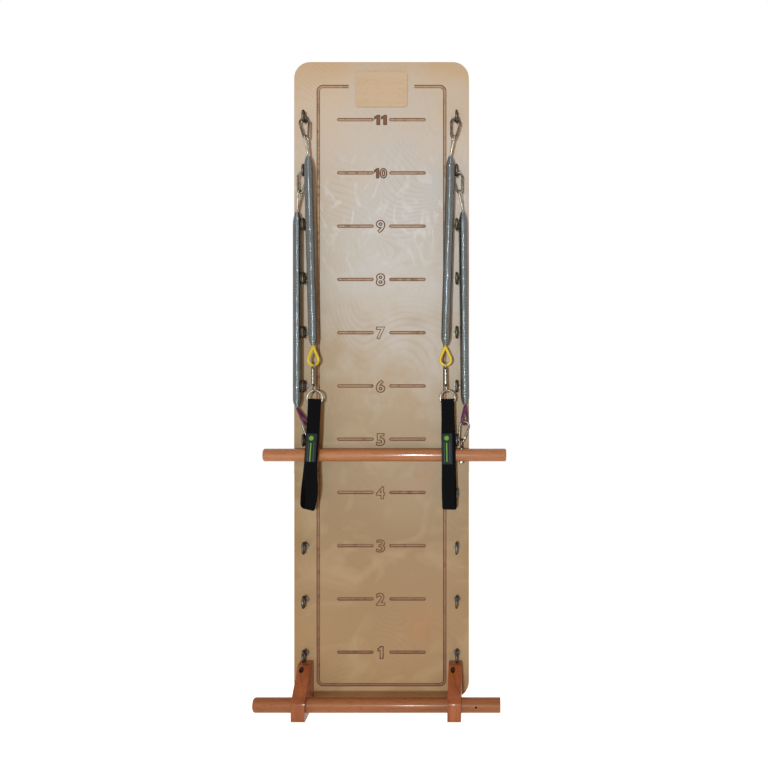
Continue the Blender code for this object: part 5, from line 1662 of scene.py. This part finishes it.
# %% The line of the band
PLY = 0.0029
STRAP_LENGTH = 0.309
SEWN = 0.045
FLARE = 0.050
FREE_PLAY = 0.0009


def strap_line():
    """The band's middle line seen from its side, closed, from the top of the bar round the back."""
    half, wrap = PLY / 2, D_WIRE / 2 + FREE_PLAY + PLY / 2
    top = -D_DROP
    end = top + wrap + PLY / 2 - STRAP_LENGTH
    deep = STRAP_DEPTH / 2 - half
    back = [(wrap * math.cos(a), top + wrap * math.sin(a))
            for a in (math.radians(90 - 120 * n / 14) for n in range(15))]
    drop = [(half + 0.0002 + (back[-1][0] - half) * (1 - math.sin(math.pi / 2 * n / 6)) ** 2,
             back[-1][1] - (0.008 * n / 6)) for n in range(1, 7)]
    sewn = [(half + 0.0002, top - wrap - (SEWN - wrap) * n / 6) for n in range(2, 7)]
    flare = [(half + 0.0002 + (deep - half) * (1 - math.cos(math.pi * n / 10)) / 2,
              top - SEWN - FLARE * n / 10) for n in range(1, 11)]
    bottom = end + deep + half
    run = [(deep, top - SEWN - FLARE + (bottom - top + SEWN + FLARE) * n / 12) for n in range(1, 12)]
    bend = arc((0, bottom), deep, 0, -90, 12)
    half_line = back + drop + sewn + flare + run + bend
    return half_line + [(-y, z) for y, z in reversed(half_line[1:-1])]


# %% Sweep the band
def band_section(width, thickness):
    """The band's section: (across, off the middle) points with softened edges."""
    ease, side = thickness * 0.42, width / 2
    outline = []
    for across, off, start in ((side - ease, thickness / 2 - ease, 0),
                               (ease - side, thickness / 2 - ease, 90),
                               (ease - side, ease - thickness / 2, 180),
                               (side - ease, ease - thickness / 2, 270)):
        outline += arc((across, off), ease, start, start + 90, 3)
    flat = []
    for first, second in zip(outline, outline[1:] + outline[:1]):
        flat.append(first)
        if abs(first[0] - second[0]) > width / 2:
            flat += [(first[0] + (second[0] - first[0]) * n / 6, first[1]) for n in range(1, 6)]
    return flat


def band_mesh(line, width, thickness, closed):
    """A band swept along a line in its own YZ plane, with a map in metres."""
    section = band_section(width, thickness)
    count = len(line)
    work = bmesh.new()
    chart = work.loops.layers.uv.new("band")
    rings, travelled, measure = [], 0.0, [0.0]
    for index, point in enumerate(line):
        here = Vector(point)
        before = Vector(line[index - 1] if closed or index else point)
        after = Vector(line[(index + 1) % count] if closed or index + 1 < count else point)
        along = (after - before).normalized()
        off = Vector((along.y, -along.x))
        rings.append([work.verts.new((x, *(here + off * t))) for x, t in section])
        following = Vector(line[(index + 1) % count])
        travelled += (following - here).length
        measure.append(travelled)
    for index in range(count if closed else count - 1):
        ring, onward = rings[index], rings[(index + 1) % count]
        for n in range(len(section)):
            m = (n + 1) % len(section)
            face = work.faces.new((ring[n], ring[m], onward[m], onward[n]))
            spots = ((index, n), (index, m), (index + 1, m), (index + 1, n))
            for corner, (step, k) in zip(face.loops, spots):
                corner[chart].uv = (measure[step], section[k][0])
    if not closed:
        work.faces.new(rings[0])
        work.faces.new(list(reversed(rings[-1])))
    bmesh.ops.recalc_face_normals(work, faces=work.faces)
    mesh = bpy.data.meshes.new("band")
    work.to_mesh(mesh)
    work.free()
    return mesh, travelled


# %% Let the loops hang
strap_mesh, strap_run = band_mesh(strap_line(), STRAP_WIDTH, PLY * 0.92, True)
print(f"strap: {strap_run * 1000:.0f} mm of webbing round the loop")
TWIST_FROM = -0.200
TWISTS = {"left": {"degrees": 42, "belly": 0.010, "tip": 0.42},
          "right": {"degrees": -8, "belly": 0.004, "tip": 0.0}}
LEANS = {"left": -0.005, "right": 0.0}


def slack(mesh, degrees, belly, tip):
    """The loose end of a loop: it turns, bellies out in front and hangs a little askew."""
    foot = -D_DROP - STRAP_LENGTH
    for vert in mesh.vertices:
        x, y, z = vert.co
        share = min(max((TWIST_FROM - z) / (TWIST_FROM - foot), 0.0), 1.0)
        if not share:
            continue
        ease = share * share * (3 - 2 * share)
        if y < 0:
            y -= belly * math.sin(math.pi * min(share * 1.15, 1.0))
        angle = math.radians(degrees) * ease
        x, y = x * math.cos(angle) - y * math.sin(angle), x * math.sin(angle) + y * math.cos(angle)
        vert.co = (x, y, z - x * tip * share ** 4)
    mesh.update()
    return mesh


def leant(mesh, sideways):
    """All that is below the sewn part, let to hang a little to one side."""
    start, foot = -D_DROP - SEWN, -D_DROP - STRAP_LENGTH
    for vert in mesh.vertices:
        vert.co.x += sideways * max(start - vert.co.z, 0.0) / (start - foot)
    mesh.update()
    return mesh


# %% [markdown]
# ## Stitching and label
#
# The doubled webbing is sewn in a box with a cross in it. Stitches repeat along a path, so
# Geometry Nodes sets one small bead of thread along each seam line. A plain woven label is
# sewn on the front of each strap.


# %% Stitches along a path
def stitch_tree():
    """Beads of thread set along the edges of a path, at a real spacing."""
    tree, start, end = start_tree("stitch_row", [("Path", "Object"), ("Spacing", "Float"),
                                                 ("Thread", "Float"), ("Stitch", "Float"),
                                                 ("Finish", "Material")])
    path = lay(tree, "GeometryNodeObjectInfo", {"Object": start.outputs["Path"]})
    line = lay(tree, "GeometryNodeMeshToCurve", {"Mesh": path.outputs["Geometry"]})
    spots = lay(tree, "GeometryNodeCurveToPoints", {"Curve": line.outputs[0],
                                                    "Length": start.outputs["Spacing"]},
                mode="LENGTH")
    bead = lay(tree, "GeometryNodeMeshUVSphere", {"Segments": 8, "Rings": 6, "Radius": 0.5})
    size = lay(tree, "ShaderNodeCombineXYZ", {0: start.outputs["Thread"],
                                              1: start.outputs["Thread"],
                                              2: start.outputs["Stitch"]})
    laid = lay(tree, "GeometryNodeInstanceOnPoints",
               {"Points": spots.outputs["Points"], "Instance": bead.outputs[0],
                "Rotation": spots.outputs["Rotation"], "Scale": size.outputs[0]})
    end_tree(tree, start, end, laid.outputs[0])
    return tree


stitches = stitch_tree()
STITCH_SPACING, STITCH_THREAD, STITCH_LENGTH = 0.0032, 0.0009, 0.0026
SEAM_ASIDE, SEAM_TOP, SEAM_FOOT = 0.0035, 0.012, 0.004
LABEL_LENGTH, LABEL_WIDTH, LABEL_THICKNESS, LABEL_ASIDE = 0.085, 0.029, 0.0009, -0.0022


def sewn_box(off):
    """The box and cross on one face of the sewn part, off the band's middle."""
    side = STRAP_WIDTH / 2 - SEAM_ASIDE
    high, low = -D_DROP - SEAM_TOP, -D_DROP - SEWN + SEAM_FOOT
    corners = [(-side, off, low), (side, off, low), (side, off, high), (-side, off, high)]
    edges = ((0, 1), (1, 2), (2, 3), (3, 0), (0, 2), (1, 3))
    meshes = []
    for first, second in edges:
        seam = bpy.data.meshes.new("seam")
        seam.from_pydata([corners[first], corners[second]], [(0, 1)], [])
        item = scratch(seam)
        meshes.append(grown(stitches, Path=item, Spacing=STITCH_SPACING, Thread=STITCH_THREAD,
                            Stitch=STITCH_LENGTH, Finish=thread))
        bpy.data.objects.remove(item, do_unlink=True)
    return meshes


def make_label_patch():
    """The woven patch on the front run of the strap."""
    top, off = -D_DROP - SEWN - FLARE * 0.9, -STRAP_DEPTH / 2 - 0.0002
    bottom = top - LABEL_LENGTH
    line = [(off, top + (bottom - top) * n / 12) for n in range(13)]
    return moved(band_mesh(line, LABEL_WIDTH, LABEL_THICKNESS, False)[0],
                 Matrix.Translation((LABEL_ASIDE, 0, 0)))


for chain, grip in grips.items():
    word = chain.split("_")[1]
    loose = leant(slack(strap_mesh.copy(), **TWISTS[word]), LEANS[word])
    hung(f"{chain}_hand_loop", moved(loose, grip), webbing, f"{chain}_grip",
         [f"{chain}_strap"], 60)
    sewing = joined(sewn_box(PLY + 0.0001) + sewn_box(-PLY - 0.0001))
    hung(f"{chain}_stitching", moved(sewing, grip), thread, f"{chain}_grip")
    patch = leant(make_label_patch(), LEANS[word])
    hung(f"{chain}_label", moved(patch, grip), label_look, f"{chain}_grip")
